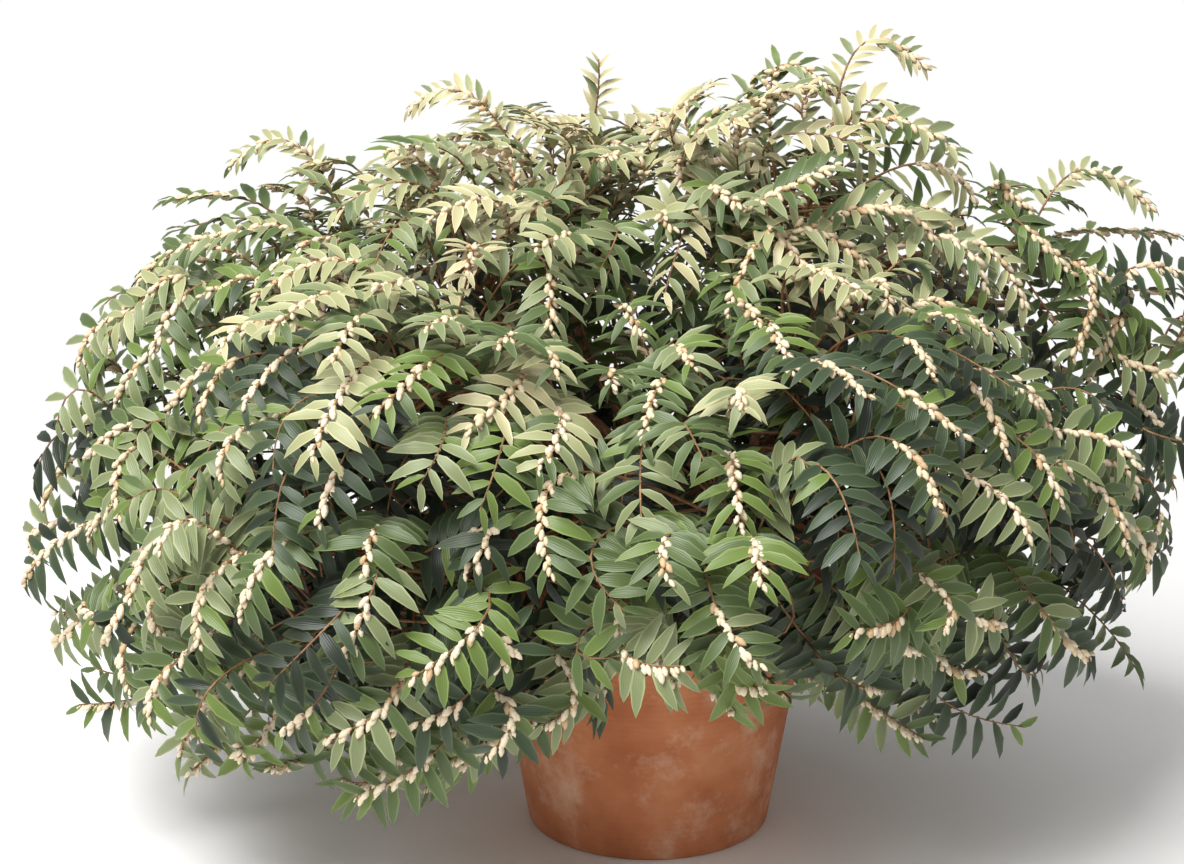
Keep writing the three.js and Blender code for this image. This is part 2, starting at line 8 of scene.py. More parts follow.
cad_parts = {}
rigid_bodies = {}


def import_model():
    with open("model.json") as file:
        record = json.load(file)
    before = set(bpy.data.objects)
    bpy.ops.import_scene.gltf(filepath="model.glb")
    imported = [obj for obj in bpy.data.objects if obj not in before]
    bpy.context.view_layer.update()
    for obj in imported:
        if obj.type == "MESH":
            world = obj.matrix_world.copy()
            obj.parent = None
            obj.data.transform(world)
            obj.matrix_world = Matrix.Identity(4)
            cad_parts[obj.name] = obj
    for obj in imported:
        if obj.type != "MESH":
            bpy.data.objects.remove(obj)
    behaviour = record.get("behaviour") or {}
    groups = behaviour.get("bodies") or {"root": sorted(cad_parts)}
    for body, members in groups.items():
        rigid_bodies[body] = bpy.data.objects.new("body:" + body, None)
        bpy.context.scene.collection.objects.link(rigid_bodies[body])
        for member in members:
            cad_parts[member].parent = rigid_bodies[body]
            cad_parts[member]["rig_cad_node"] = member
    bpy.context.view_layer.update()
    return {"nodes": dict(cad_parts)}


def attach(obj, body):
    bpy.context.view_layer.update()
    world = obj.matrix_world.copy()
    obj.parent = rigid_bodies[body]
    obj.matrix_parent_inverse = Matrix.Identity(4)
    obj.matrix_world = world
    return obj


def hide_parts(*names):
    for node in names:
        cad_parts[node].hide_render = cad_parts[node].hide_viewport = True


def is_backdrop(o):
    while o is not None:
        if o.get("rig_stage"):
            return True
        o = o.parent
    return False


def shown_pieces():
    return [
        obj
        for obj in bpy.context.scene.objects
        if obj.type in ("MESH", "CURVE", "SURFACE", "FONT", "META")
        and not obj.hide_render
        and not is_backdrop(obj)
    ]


# A leucothoe in bloom in a clay pot. Sizes in the dictionaries are millimetres, meshes are made in metres.
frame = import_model()
mm = 0.001
up = np.array([0.0, 0.0, 1.0])
front = np.array([0.0, -1.0, 0.0])
print("frame loaded:", len(frame["nodes"]), "nodes")


def linear(hexColour):
    channels = [int(hexColour[i:i + 2], 16) / 255 for i in (0, 2, 4)]
    return [c / 12.92 if c <= 0.04045 else ((c + 0.055) / 1.055) ** 2.4 for c in channels] + [1]


# Adds a node with its settings; an input may be a value or another node's socket.
def addNode(tree, kind, inputs=None, **settings):
    made = tree.nodes.new(kind)
    for key, value in settings.items():
        setattr(made, key, value)
    for key, value in (inputs or {}).items():
        if isinstance(value, bpy.types.NodeSocket):
            tree.links.new(value, made.inputs[key])
        else:
            made.inputs[key].default_value = value
    return made


def startMaterial(name, roughness, specular=0.5):
    material = bpy.data.materials.new(name)
    material.use_nodes = True
    surface = material.node_tree.nodes["Principled BSDF"]
    surface.inputs["Roughness"].default_value = roughness
    surface.inputs["Specular IOR Level"].default_value = specular
    return material, material.node_tree, surface


def objectPlace(tree):
    return addNode(tree, "ShaderNodeTexCoord").outputs["Object"]


# The number that a Math node makes of values or sockets.
def worked(tree, operation, *values):
    return addNode(tree, "ShaderNodeMath", dict(enumerate(values)), operation=operation).outputs[0]


def noise(tree, place, scale, detail, roughness=0.5):
    return addNode(tree, "ShaderNodeTexNoise", {"Vector": place, "Scale": scale, "Detail": detail,
                                                "Roughness": roughness}).outputs["Fac"]


# Colours from tone to tone by a value; each stop is a position and a colour.
def tones(tree, value, stops):
    ramp = addNode(tree, "ShaderNodeValToRGB", {"Fac": value})
    elements = ramp.color_ramp.elements
    for k, (position, colour) in ((0, stops[0]), (1, stops[-1])):
        elements[k].position = position
        elements[k].color = linear(colour)
    for position, colour in stops[1:-1]:
        elements.new(position).color = linear(colour)
    return ramp.outputs["Color"]


def bumped(tree, surface, height, depth, strength=1.0):
    bump = addNode(tree, "ShaderNodeBump", {"Height": height, "Distance": depth * mm, "Strength": strength})
    tree.links.new(bump.outputs["Normal"], surface.inputs["Normal"])


# A finish whose colour wanders between tones, with a grain of its own raised on it.
def makeMottled(name, look):
    material, tree, surface = startMaterial(name, look["roughness"], look["specular"])
    place = objectPlace(tree)
    broad = noise(tree, place, 1 / (look["patch"] * mm), 4.0)
    tree.links.new(tones(tree, broad, look["tones"]), surface.inputs["Base Color"])
    bumped(tree, surface, noise(tree, place, 1 / (look["grain"] * mm), look["detail"]), look["depth"])
    return material


def plainMesh(name, points, faces, edges=()):
    mesh = bpy.data.meshes.new(name)
    mesh.from_pydata([tuple(p) for p in points], [tuple(e) for e in edges], [tuple(f) for f in faces])
    mesh.update()
    return mesh


def addObject(name, mesh):
    piece = bpy.data.objects.new(name, mesh)
    bpy.context.scene.collection.objects.link(piece)
    return piece


def addSolid(name, solid):
    mesh = bpy.data.meshes.new(name)
    solid.to_mesh(mesh)
    solid.free()
    return addObject(name, mesh)


# Stores a number or a vector for each point or face of a mesh.
def giveValues(mesh, name, values, kind="FLOAT", domain="POINT"):
    flat = np.array(values, np.int32 if kind == "INT" else np.float32).ravel()
    mesh.attributes.new(name, kind, domain).data.foreach_set("vector" if "VECTOR" in kind else "value", flat)


# Gives an object the shape that its modifiers make, and takes the modifiers off.
def settle(piece):
    depsgraph = bpy.context.evaluated_depsgraph_get()
    shaped = bpy.data.meshes.new_from_object(piece.evaluated_get(depsgraph), depsgraph=depsgraph)
    piece.modifiers.clear()
    rough = piece.data
    piece.data = shaped
    bpy.data.meshes.remove(rough)
    piece.data.name = piece.name
    return piece


# Runs a Geometry Nodes tree on an object, its inputs set by the sockets' identifiers.
def grown(piece, tree, values):
    modifier = piece.modifiers.new(tree.name, "NODES")
    modifier.node_group = tree
    for item in tree.interface.items_tree:
        if item.item_type == "SOCKET" and item.in_out == "INPUT" and item.name in values:
            modifier[item.identifier] = values[item.name]
    return settle(piece)


# A Geometry Nodes tree with named inputs, and the ends to link to.
def newTree(name, inputs):
    tree = bpy.data.node_groups.new(name, "GeometryNodeTree")
    tree.interface.new_socket("Geometry", in_out="INPUT", socket_type="NodeSocketGeometry")
    tree.interface.new_socket("Geometry", in_out="OUTPUT", socket_type="NodeSocketGeometry")
    for label, kind in inputs.items():
        tree.interface.new_socket(label, in_out="INPUT", socket_type="NodeSocket" + kind)
    start = tree.nodes.new("NodeGroupInput")
    end = tree.nodes.new("NodeGroupOutput")
    return tree, start.outputs, end.inputs["Geometry"]


def attribute(tree, name, kind="FLOAT"):
    return addNode(tree, "GeometryNodeInputNamedAttribute", {"Name": name},
                   data_type=kind).outputs["Attribute"]


def painted(tree, geometry, material, where=True):
    return addNode(tree, "GeometryNodeSetMaterial", {"Geometry": geometry, "Selection": where,
                                                     "Material": material}).outputs["Geometry"]


def handIn(piece, slot, *nodes):
    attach(piece, "root")
    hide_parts(*nodes)


# The camera looks a little down, square to the front, as in the photograph.
viewpoint = {"target": (-64, 0, 448), "distance": 2500, "elevation": 14, "lens": 69.1, "sensor": 36}
cameraData = bpy.data.cameras.new("camera")
cameraData.lens = viewpoint["lens"]
cameraData.sensor_width = viewpoint["sensor"]
cameraData.clip_start = 0.05
camera = addObject("camera", cameraData)
lift = math.radians(viewpoint["elevation"])
backward = Vector((0, -math.cos(lift), math.sin(lift)))
camera.location = (Vector(viewpoint["target"]) + backward * viewpoint["distance"]) * mm
camera.rotation_euler = (-backward).to_track_quat("-Z", "Y").to_euler()
bpy.context.scene.camera = camera


# Fired, unglazed clay, thrown on a wheel: chalky, with a pale bloom of lime and faint turning lines.
clayLook = {"roughness": 0.86, "specular": 0.3, "patch": 60, "bloom": "dcc0a6", "bloomScale": 14.0,
            "bloomFrom": 0.52, "bloomTo": 0.72, "bloomMost": 0.55, "turning": 6.5, "turningShare": 0.35,
            "grit": 1.6, "relief": 0.35, "tones": [(0.3, "a8633f"), (0.55, "bd7750"), (0.75, "c98a63")]}


def makeClay():
    look = clayLook
    material, tree, surface = startMaterial("unglazedTerracotta", look["roughness"], look["specular"])
    place = objectPlace(tree)
    body = tones(tree, noise(tree, place, 1 / (look["patch"] * mm), 4.0), look["tones"])
    patches = addNode(tree, "ShaderNodeMapRange", {
        "Value": noise(tree, place, look["bloomScale"], 8.0, 0.7), "From Min": look["bloomFrom"],
        "From Max": look["bloomTo"], "To Max": look["bloomMost"]})
    mixed = addNode(tree, "ShaderNodeMix", {"Factor": patches.outputs["Result"], "A": body,
                                            "B": linear(look["bloom"])}, data_type="RGBA")
    tree.links.new(mixed.outputs["Result"], surface.inputs["Base Color"])
    height = addNode(tree, "ShaderNodeSeparateXYZ", {"Vector": place}).outputs["Z"]
    rings = worked(tree, "SINE", worked(tree, "MULTIPLY", height, 2 * math.pi / (look["turning"] * mm)))
    grit = noise(tree, place, 1 / (look["grit"] * mm), 3.0)
    bumped(tree, surface, worked(tree, "MULTIPLY_ADD", rings, look["turningShare"], grit), look["relief"])
    return material


# A closed turned piece from a profile of radius and height; wobble moves a point by its angle and height.
def addTurned(name, material, profile, sides, wobble=None):
    points = [(0, 0, profile[0][1])]
    for radius, height in profile[1:-1]:
        for i in range(sides):
            angle = 2 * math.pi * i / sides
            r, z = (radius, height) if wobble is None else wobble(radius, height, angle)
            points.append((r * math.cos(angle), r * math.sin(angle), z))
    points.append((0, 0, profile[-1][1]))
    rings = len(profile) - 2
    faces = []
    for i in range(sides):
        j = (i + 1) % sides
        faces.append((0, 1 + j, 1 + i))
        for k in range(rings - 1):
            a, b = 1 + k * sides, 1 + (k + 1) * sides
            faces.append((a + i, a + j, b + j, b + i))
        last = 1 + (rings - 1) * sides
        faces.append((last + i, last + j, len(points) - 1))
    piece = addObject(name, plainMesh(name, [np.array(p) * mm for p in points], faces))
    piece.data.materials.append(material)
    piece.data.shade_smooth()
    return piece


# Points of an arc that rounds a profile's corner.
def rounded(corner, before, after, radius):
    corner, before, after = (np.array(p, float) for p in (corner, before, after))
    a = corner + (before - corner) / np.linalg.norm(before - corner) * radius
    b = corner + (after - corner) / np.linalg.norm(after - corner) * radius
    steps = np.linspace(0, 1, 5)[:, None]
    return [tuple(p) for p in (1 - steps) ** 2 * a + 2 * steps * (1 - steps) * corner + steps ** 2 * b]


potSize = {"height": 320, "foot": 136, "rim": 198, "wall": 13, "floor": 18, "collar": 50, "collarStep": 8,
           "collarFlare": 4, "collarRound": 2.5, "round": 5, "drains": 3, "drainRadius": 8,
           "drainCircle": 80, "sides": 128}
potSlope = (potSize["rim"] - potSize["collarStep"] - potSize["foot"]) / potSize["height"]


def potOuter(height):
    return potSize["foot"] + potSlope * height


def potInner(height):
    return potOuter(height) - potSize["wall"]


def makePot(clay):
    p = potSize
    band = p["height"] - p["collar"]
    corners = [(0, 0), (p["foot"], 0), (potOuter(band), band), (p["rim"], band + p["collarFlare"]),
               (p["rim"], p["height"]), (potInner(p["height"]), p["height"]),
               (potInner(p["floor"]), p["floor"]), (0, p["floor"])]
    profile = [corners[0]]
    for i in range(1, len(corners) - 1):
        radius = p["collarRound"] if i == 3 else p["round"]
        profile += rounded(corners[i], corners[i - 1], corners[i + 1], radius)
    profile.append(corners[-1])
    pot = addTurned("pot_clay", clay, profile, p["sides"])
    drill = bmesh.new()
    for i in range(p["drains"]):
        turn = 2 * math.pi * (i + 0.5) / p["drains"]
        place = Vector((math.cos(turn), math.sin(turn), 0)) * p["drainCircle"] * mm
        bmesh.ops.create_cone(drill, cap_ends=True, segments=24, radius1=p["drainRadius"] * mm,
                              radius2=p["drainRadius"] * mm, depth=p["floor"] * 3 * mm,
                              matrix=Matrix.Translation(place))
    cutter = addSolid("drill", drill)
    cut = pot.modifiers.new("drains", "BOOLEAN")
    cut.object = cutter
    settle(pot)
    bpy.data.objects.remove(cutter)
    pot.data.materials.clear()
    pot.data.materials.append(clay)
    pot.data.shade_smooth()
    pot.data.set_sharp_from_angle(angle=math.radians(40))
    handIn(pot, "clay", "pot")


makePot(makeClay())
print("pot made")


soilSize = {"belowRim": 26, "flat": 70, "fall": 8, "sides": 72, "lumps": 3.5, "gap": 0.3, "bareRim": 12,
            "chipsPerSquareMetre": 9000.0, "chipLength": 17, "chipWidth": 0.42, "chipThickness": 0.16,
            "chipTaper": 0.5, "chipWarp": 0.06, "chipSizes": (0.45, 1.0), "chipTilt": 0.5, "seed": 4}
soilTop = potSize["height"] - soilSize["belowRim"]


# Damp peat, near black, with a rough crumb.
peatLook = {"roughness": 0.95, "specular": 0.2, "patch": 5, "grain": 3, "detail": 6.0, "depth": 2.5,
            "tones": [(0.35, "1f1712"), (0.55, "3a2c22"), (0.75, "56432f")]}
# Chipped pine bark: reddish flakes with pale split edges.
chipLook = {"roughness": 0.8, "specular": 0.3, "patch": 9, "grain": 1.5, "detail": 3.0, "depth": 0.8,
            "tones": [(0.3, "3b2417"), (0.5, "6d4429"), (0.62, "8a5f3c"), (0.8, "b08a5f")]}


# The soil's top is uneven; its sides stay round.
def soilLump(radius, height, angle):
    if height < soilTop - soilSize["fall"] - 4 or radius > potInner(soilTop) - soilSize["bareRim"]:
        return radius, height
    lump = math.sin(radius * 0.09 + 2 * angle) * math.cos(radius * 0.05 - 3 * angle)
    lump += 0.5 * math.sin(7 * angle)
    return radius, height + soilSize["lumps"] * lump * min(1, radius / 40)


def makeSoil(peat, chip):
    s = soilSize
    edge = soilTop - s["fall"]
    low = potSize["floor"] + s["gap"]
    profile = [(0, low), (potInner(low) - s["gap"], low), (potInner(edge) - s["gap"], edge)]
    for share in np.linspace(0.92, 0.04, 14):
        radius = share * (potInner(edge) - s["gap"])
        profile.append((radius, soilTop if radius < s["flat"] else
                        soilTop - s["fall"] * (radius - s["flat"]) / (potInner(edge) - s["flat"])))
    profile.append((0, soilTop))
    soil = addTurned("soil_peat", peat, profile, s["sides"], soilLump)

    flake = bmesh.new()
    bmesh.ops.create_cube(flake, size=1)
    bmesh.ops.subdivide_edges(flake, edges=flake.edges, cuts=1)
    for i, vertex in enumerate(flake.verts):
        taper = 1 - s["chipTaper"] * abs(vertex.co.x)
        vertex.co.y *= s["chipWidth"] * taper
        warp = s["chipWarp"] * math.sin(5.0 * vertex.co.x + i)
        vertex.co.z = vertex.co.z * s["chipThickness"] * taper + warp
    flake.transform(Matrix.Scale(s["chipLength"] * mm, 4))
    chipShape = addSolid("flake", flake)

    tree, given, result = newTree("chipScatter", {"Chip": "Object", "Density": "Float", "Seed": "Int",
                                                  "Bark": "Material"})
    facing = addNode(tree, "GeometryNodeInputNormal").outputs["Normal"]
    split = addNode(tree, "ShaderNodeSeparateXYZ", {"Vector": facing})
    # chips lie only where the soil faces up
    top = addNode(tree, "FunctionNodeCompare", {0: split.outputs["Z"], 1: 0.7}, data_type="FLOAT",
                  operation="GREATER_THAN")
    spread = addNode(tree, "GeometryNodeDistributePointsOnFaces",
                     {"Mesh": given["Geometry"], "Selection": top.outputs["Result"],
                      "Density": given["Density"], "Seed": given["Seed"]})
    turn = addNode(tree, "FunctionNodeRandomValue", {"Seed": given["Seed"]}, data_type="FLOAT_VECTOR")
    turn.inputs["Min"].default_value = (-s["chipTilt"], -s["chipTilt"], 0)
    turn.inputs["Max"].default_value = (s["chipTilt"], s["chipTilt"], 2 * math.pi)
    size = addNode(tree, "FunctionNodeRandomValue", {"Seed": given["Seed"]}, data_type="FLOAT")
    size.inputs[2].default_value, size.inputs[3].default_value = s["chipSizes"]
    source = addNode(tree, "GeometryNodeObjectInfo", {"Object": given["Chip"]})
    placed = addNode(tree, "GeometryNodeInstanceOnPoints",
                     {"Points": spread.outputs["Points"], "Instance": source.outputs["Geometry"],
                      "Rotation": turn.outputs["Value"], "Scale": size.outputs[1]})
    real = addNode(tree, "GeometryNodeRealizeInstances", {"Geometry": placed.outputs["Instances"]})
    tree.links.new(painted(tree, real.outputs["Geometry"], given["Bark"]), result)
    chips = addObject("soil_chips", soil.data.copy())
    grown(chips, tree, {"Chip": chipShape, "Density": s["chipsPerSquareMetre"], "Seed": s["seed"],
                        "Bark": chip})
    bpy.data.objects.remove(chipShape)
    handIn(soil, "soil", "soil")
    handIn(chips, "soil", "soil")
    print("soil made:", len(chips.data.polygons), "chip faces")


makeSoil(makeMottled("dampPeat", peatLook), makeMottled("chippedPineBark", chipLook))


# The crown's rule. Its middle lies left of the pot; heart and top are heights on that line.
crown = {"middle": -45, "heart": 360, "top": 780, "seed": 17}
heart = np.array([crown["middle"], 0, crown["heart"]], float)
crownTop = np.array([crown["middle"], 0, crown["top"]], float)
tiers = [
    {"name": "skirt", "count": 7, "apart": 360 / 7, "firstTurn": 15, "outX": 450, "outY": 350, "high": 320,
     "wide": 205, "tall": 160, "inner": 0.72, "rise": 0.62, "droop": 1},
    {"name": "shoulder", "count": 6, "apart": 60, "firstTurn": 30, "outX": 395, "outY": 275, "high": 500,
     "wide": 220, "tall": 160, "inner": 0.62, "rise": 0.1, "droop": 0.75},
    {"name": "top", "count": 3, "apart": 120, "firstTurn": 75, "outX": 190, "outY": 120, "high": 640,
     "wide": 200, "tall": 140, "inner": 0.25, "rise": -0.55, "droop": 0.5},
    {"name": "arm", "count": 2, "apart": 12, "firstTurn": 84, "outX": 588, "outY": 300, "high": 485,
     "wide": 88, "tall": 165, "inner": 0.6, "rise": 0.78, "droop": 1},
]
uneven = {
    "skirt_1": {"out": -30, "high": 95, "wide": 25, "tall": -35},
    "skirt_2": {"out": -65, "high": 50, "tall": 30},
    "skirt_3": {"high": 20},
    "skirt_6": {"out": -20, "high": 25},
    "skirt_7": {"out": -45, "high": 15, "wide": 30, "tall": 25},
    "shoulder_2": {"out": -100, "wide": -15},
    "shoulder_5": {"out": -45, "high": 30, "tall": 15},
    "top_1": {"out": 25, "high": 60, "wide": -25, "tall": 5},
    "top_3": {"wide": -30},
    "arm_1": {"out": -130, "high": 145, "wide": 5, "tall": -110},
    "arm_2": {"tall": 15},
}


def unit(vectors):
    return vectors / np.maximum(np.linalg.norm(vectors, axis=-1, keepdims=True), 1e-9)


def placeMasses():
    made = []
    for tier in tiers:
        for i in range(tier["count"]):
            name = f"{tier['name']}_{i + 1}"
            shift = uneven.get(name, {})
            angle = math.radians(tier["firstTurn"] + tier["apart"] * i)
            outward = np.array([math.sin(angle), -math.cos(angle), 0])
            out = shift.get("out", 0)
            centre = np.array([crown["middle"] + (tier["outX"] + out) * outward[0],
                               (tier["outY"] + out) * outward[1], tier["high"] + shift.get("high", 0)])
            wide = tier["wide"] + shift.get("wide", 0)
            size = np.array([wide, wide, tier["tall"] + shift.get("tall", 0)], float)
            entry = centre - outward * tier["inner"] * wide + up * tier["rise"] * size[2]
            made.append({"name": name, "tier": tier["name"], "outward": outward, "centre": centre,
                         "size": size, "entry": entry, "droop": tier["droop"]})
    return made


masses = placeMasses()
centres = np.array([mass["centre"] for mass in masses])
sizes = np.array([mass["size"] for mass in masses])


# Each point belongs to one mass's cell; room is how far it lies inside that cell.
def cellOf(points):
    power = ((points[:, None] - centres) ** 2).sum(-1) - sizes[:, 0] ** 2
    order = np.argsort(power, axis=1)
    own, second = order[:, 0], order[:, 1]
    rows = np.arange(len(points))
    apart = np.linalg.norm(centres[own] - centres[second], axis=1)
    return own, (power[rows, second] - power[rows, own]) / (2 * apart)


# A limb ends this far inside its mass's own cell, moved there from its first place in small shares.
entryRoom, entryShare = 12, 0.08
for index, mass in enumerate(masses):
    for _ in range(30):
        owner, room = cellOf(mass["entry"][None])
        if owner[0] == index and room[0] > entryRoom:
            break
        mass["entry"] = mass["entry"] * (1 - entryShare) + mass["centre"] * entryShare


# Over 1 inside the crown's smooth outside.
def within(points):
    depth = (((points[:, None] - centres) / sizes) ** 2).sum(-1)
    return np.exp(-3 * (depth - 1)).sum(1)


# Where rays leave that outside for good: inwards from farthest by strides, then finer and finer.
farthest, stride, finest = 900.0, 20, 0.5


def outsideFrom(places, directions):
    far = np.full(len(directions), farthest)
    for _ in range(round(farthest / stride)):
        outer = within(places + directions * far[:, None]) < 1
        far = np.where(outer & (far > stride), far - stride, far)
    step = stride / 2
    while step > finest:
        further = within(places + directions * (far + step)[:, None]) > 1
        far = far + np.where(further, step, 0)
        step /= 2
    return places + directions * far[:, None]


def outwardAt(points):
    nudge = 4.0
    slopes = [within(points - nudge * axis) - within(points + nudge * axis) for axis in np.eye(3)]
    return unit(np.stack(slopes, 1))


# Points along a Bezier curve, evenly spaced.
def evenCurve(control, count):
    t = np.linspace(0, 1, 160)[:, None]
    p0, p1, p2, p3 = (np.asarray(p, float) for p in control)
    points = (1 - t) ** 3 * p0 + 3 * t * (1 - t) ** 2 * p1 + 3 * t ** 2 * (1 - t) * p2 + t ** 3 * p3
    run = np.concatenate([[0], np.cumsum(np.linalg.norm(np.diff(points, axis=0), axis=1))])
    at = np.linspace(0, run[-1], count)
    return np.stack([np.interp(at, run, points[:, k]) for k in range(3)], 1), run[-1]


# The handles of a stem's curve, as shares of the way: it leaves by its heading and arrives by its arrival.
leaving, arriving = 0.42, 0.38


def arched(start, heading, end, arrival):
    reach = np.linalg.norm(end - start)
    return [start, start + heading * reach * leaving, end - arrival * reach * arriving, end]


def climbing(outward, degrees):
    return outward * math.cos(math.radians(degrees)) + up * math.sin(math.radians(degrees))


stool = {"height": 92, "flare": 56, "waist": 33, "top": 25, "sides": 40}
limbSizes = {"cane": (9, 5.5), "leader": (7.5, 5), "bough": (5, 3.6), "arm_bough": (5, 3.6)}
limbSteps = 60
collars = {"swell": 0.4, "reach": 14}
# Degrees that each kind of limb climbs where it starts and where it ends; the second arm bough dips.
climbs = {"cane": (62, -18), "leader": (80, 62), "bough": (55, 10), "arm_bough": ((70, 0), (70, -14))}
# Where they start: shares of the stool's height for canes in turn, and of the way along a cane for boughs.
forks = {"cane": (0.42, 0.62), "bough": 0.46, "arm_bough": 0.24}
# How far inside the stool's skin canes and leaders start, and how far below its top leaders do.
rooted = {"cane": 12, "leader": 9.5, "leaderDown": 12}


def growLimbs():
    limbs = {}

    def lay(kind, i, start, mass, climb):
        heading, arrival = (climbing(mass["outward"], degrees) for degrees in climb)
        points, length = evenCurve(arched(start, heading, mass["entry"], arrival), limbSteps)
        limbs[f"{kind}_{i + 1}"] = {"points": points, "radii": np.linspace(*limbSizes[kind], limbSteps),
                                    "mass": mass, "length": length}

    def of(tier):
        return enumerate(mass for mass in masses if mass["tier"] == tier)

    def fork(limb, share):
        return limb["points"][round(share * (limbSteps - 1))]

    for i, mass in of("skirt"):
        start = mass["outward"] * (stool["waist"] - rooted["cane"])
        start = start + up * (soilTop + stool["height"] * forks["cane"][i % 2])
        lay("cane", i, start, mass, climbs["cane"])
    canes = list(limbs.values())
    for i, mass in of("top"):
        start = mass["outward"] * (stool["top"] - rooted["leader"])
        start = start + up * (soilTop + stool["height"] - rooted["leaderDown"])
        lay("leader", i, start, mass, climbs["leader"])
    for i, mass in of("shoulder"):
        parent = max(canes, key=lambda limb: float(limb["mass"]["outward"] @ mass["outward"]))
        lay("bough", i, fork(parent, forks["bough"]), mass, climbs["bough"])
    for i, mass in of("arm"):
        lay("arm_bough", i, fork(canes[1 + i], forks["arm_bough"]), mass, climbs["arm_bough"][i])
    return limbs


limbs = growLimbs()
woodPoints = np.concatenate([limb["points"] for limb in limbs.values()])
woodRadii = np.concatenate([limb["radii"] for limb in limbs.values()])


def offWood(points, room):
    clear = np.ones(len(points), bool)
    many = 4000
    for first in range(0, len(points), many):
        part = points[first:first + many]
        apart = np.linalg.norm(part[:, None] - woodPoints, axis=2) - woodRadii
        clear[first:first + many] = apart.min(1) > room
    return clear


def offPot(points, room):
    reach = np.hypot(points[:, 0], points[:, 1])
    return (points[:, 2] > potSize["height"] + room) | (reach > potSize["rim"] + room)


# The rows whose places are all clear of wood and pot.
def clearRows(rows, *places):
    good = np.ones(len(rows), bool)
    for points in places:
        good &= offWood(points, 1) & offPot(points, 1)
    return [row for row, free in zip(rows, good) if free]


# Bark of a woody shrub: brown, split lengthwise into fine grey-tan ridges with paler breathing pores.
barkLook = {"roughness": 0.8, "specular": 0.3, "ridgeLength": 26, "depth": 1.2, "ridgeDepth": 2.2,
            "tones": [(0.34, "4a2f20"), (0.52, "7d5639"), (0.7, "a98a68")]}


# A place on a limb's skin: its turn goes round a circle, so that no seam shows, and its height is the run.
def skinPlace(tree, along, around):
    turn = worked(tree, "MULTIPLY", around, 2 * math.pi)
    run = worked(tree, "MULTIPLY", along, 1 / (barkLook["ridgeLength"] * mm))
    return addNode(tree, "ShaderNodeCombineXYZ", {"X": worked(tree, "SINE", turn),
                                                  "Y": worked(tree, "COSINE", turn), "Z": run}).outputs[0]


def makeBark():
    look = barkLook
    material, tree, surface = startMaterial("shrubBark", look["roughness"], look["specular"])
    along, around = (addNode(tree, "ShaderNodeAttribute", attribute_name=name).outputs["Fac"]
                     for name in ("along", "around"))
    streaks = noise(tree, skinPlace(tree, along, around), 3.2, 6.0, 0.65)
    tree.links.new(tones(tree, streaks, look["tones"]), surface.inputs["Base Color"])
    bumped(tree, surface, streaks, look["depth"])
    return material


# A tube along every line of edges, its radius from "thick", its skin raised in lengthwise ridges.
def tubeTree():
    tree, given, result = newTree("woodyTubes", {"Sides": "Int", "Ridge Depth": "Float", "Skin": "Material"})
    curve = addNode(tree, "GeometryNodeMeshToCurve", {"Mesh": given["Geometry"]})
    lined = addNode(tree, "GeometryNodeSetCurveRadius",
                    {"Curve": curve.outputs["Curve"], "Radius": attribute(tree, "thick")})
    ring = addNode(tree, "GeometryNodeCurvePrimitiveCircle", {"Resolution": given["Sides"], "Radius": 1.0})

    def marked(geometry, name, measure):
        value = addNode(tree, "GeometryNodeSplineParameter").outputs[measure]
        return addNode(tree, "GeometryNodeStoreNamedAttribute",
                       {"Geometry": geometry, "Name": name, "Value": value}, data_type="FLOAT",
                       domain="POINT").outputs["Geometry"]

    skin = addNode(tree, "GeometryNodeCurveToMesh",
                   {"Curve": marked(lined.outputs["Curve"], "along", "Length"),
                    "Profile Curve": marked(ring.outputs["Curve"], "around", "Factor"),
                    "Fill Caps": True, "Scale": attribute(tree, "thick")})
    relief = noise(tree, skinPlace(tree, attribute(tree, "along"), attribute(tree, "around")), 2.2, 2.0)
    depth = worked(tree, "MULTIPLY", worked(tree, "SUBTRACT", relief, 0.5), given["Ridge Depth"])
    scaled = addNode(tree, "ShaderNodeVectorMath",
                     {0: addNode(tree, "GeometryNodeInputNormal").outputs["Normal"], "Scale": depth},
                     operation="SCALE")
    raised = addNode(tree, "GeometryNodeSetPosition",
                     {"Geometry": skin.outputs["Mesh"], "Offset": scaled.outputs["Vector"]})
    smooth = addNode(tree, "GeometryNodeSetShadeSmooth", {"Geometry": raised.outputs["Geometry"]})
    tree.links.new(painted(tree, smooth.outputs["Geometry"], given["Skin"]), result)
    return tree


tubes = tubeTree()


# One object of many lines, each a list of points and radii in millimetres.
def linesObject(name, lines):
    points = np.concatenate([line[0] for line in lines]) * mm
    radii = np.concatenate([line[1] for line in lines]) * mm
    edges = []
    first = 0
    for line, _ in lines:
        edges += [(first + i, first + i + 1) for i in range(len(line) - 1)]
        first += len(line)
    piece = addObject(name, plainMesh(name, points, [], edges))
    giveValues(piece.data, "thick", radii)
    return piece


# The stool's foot swells into root lobes.
def stoolWobble(radius, height, angle):
    low = max(0.0, 1 - (height - soilTop) / stool["height"])
    lobes = 0.16 * low * math.sin(5 * angle + 0.6) + 0.07 * math.sin(3 * angle + height * 0.06)
    return radius * (1 + lobes), height


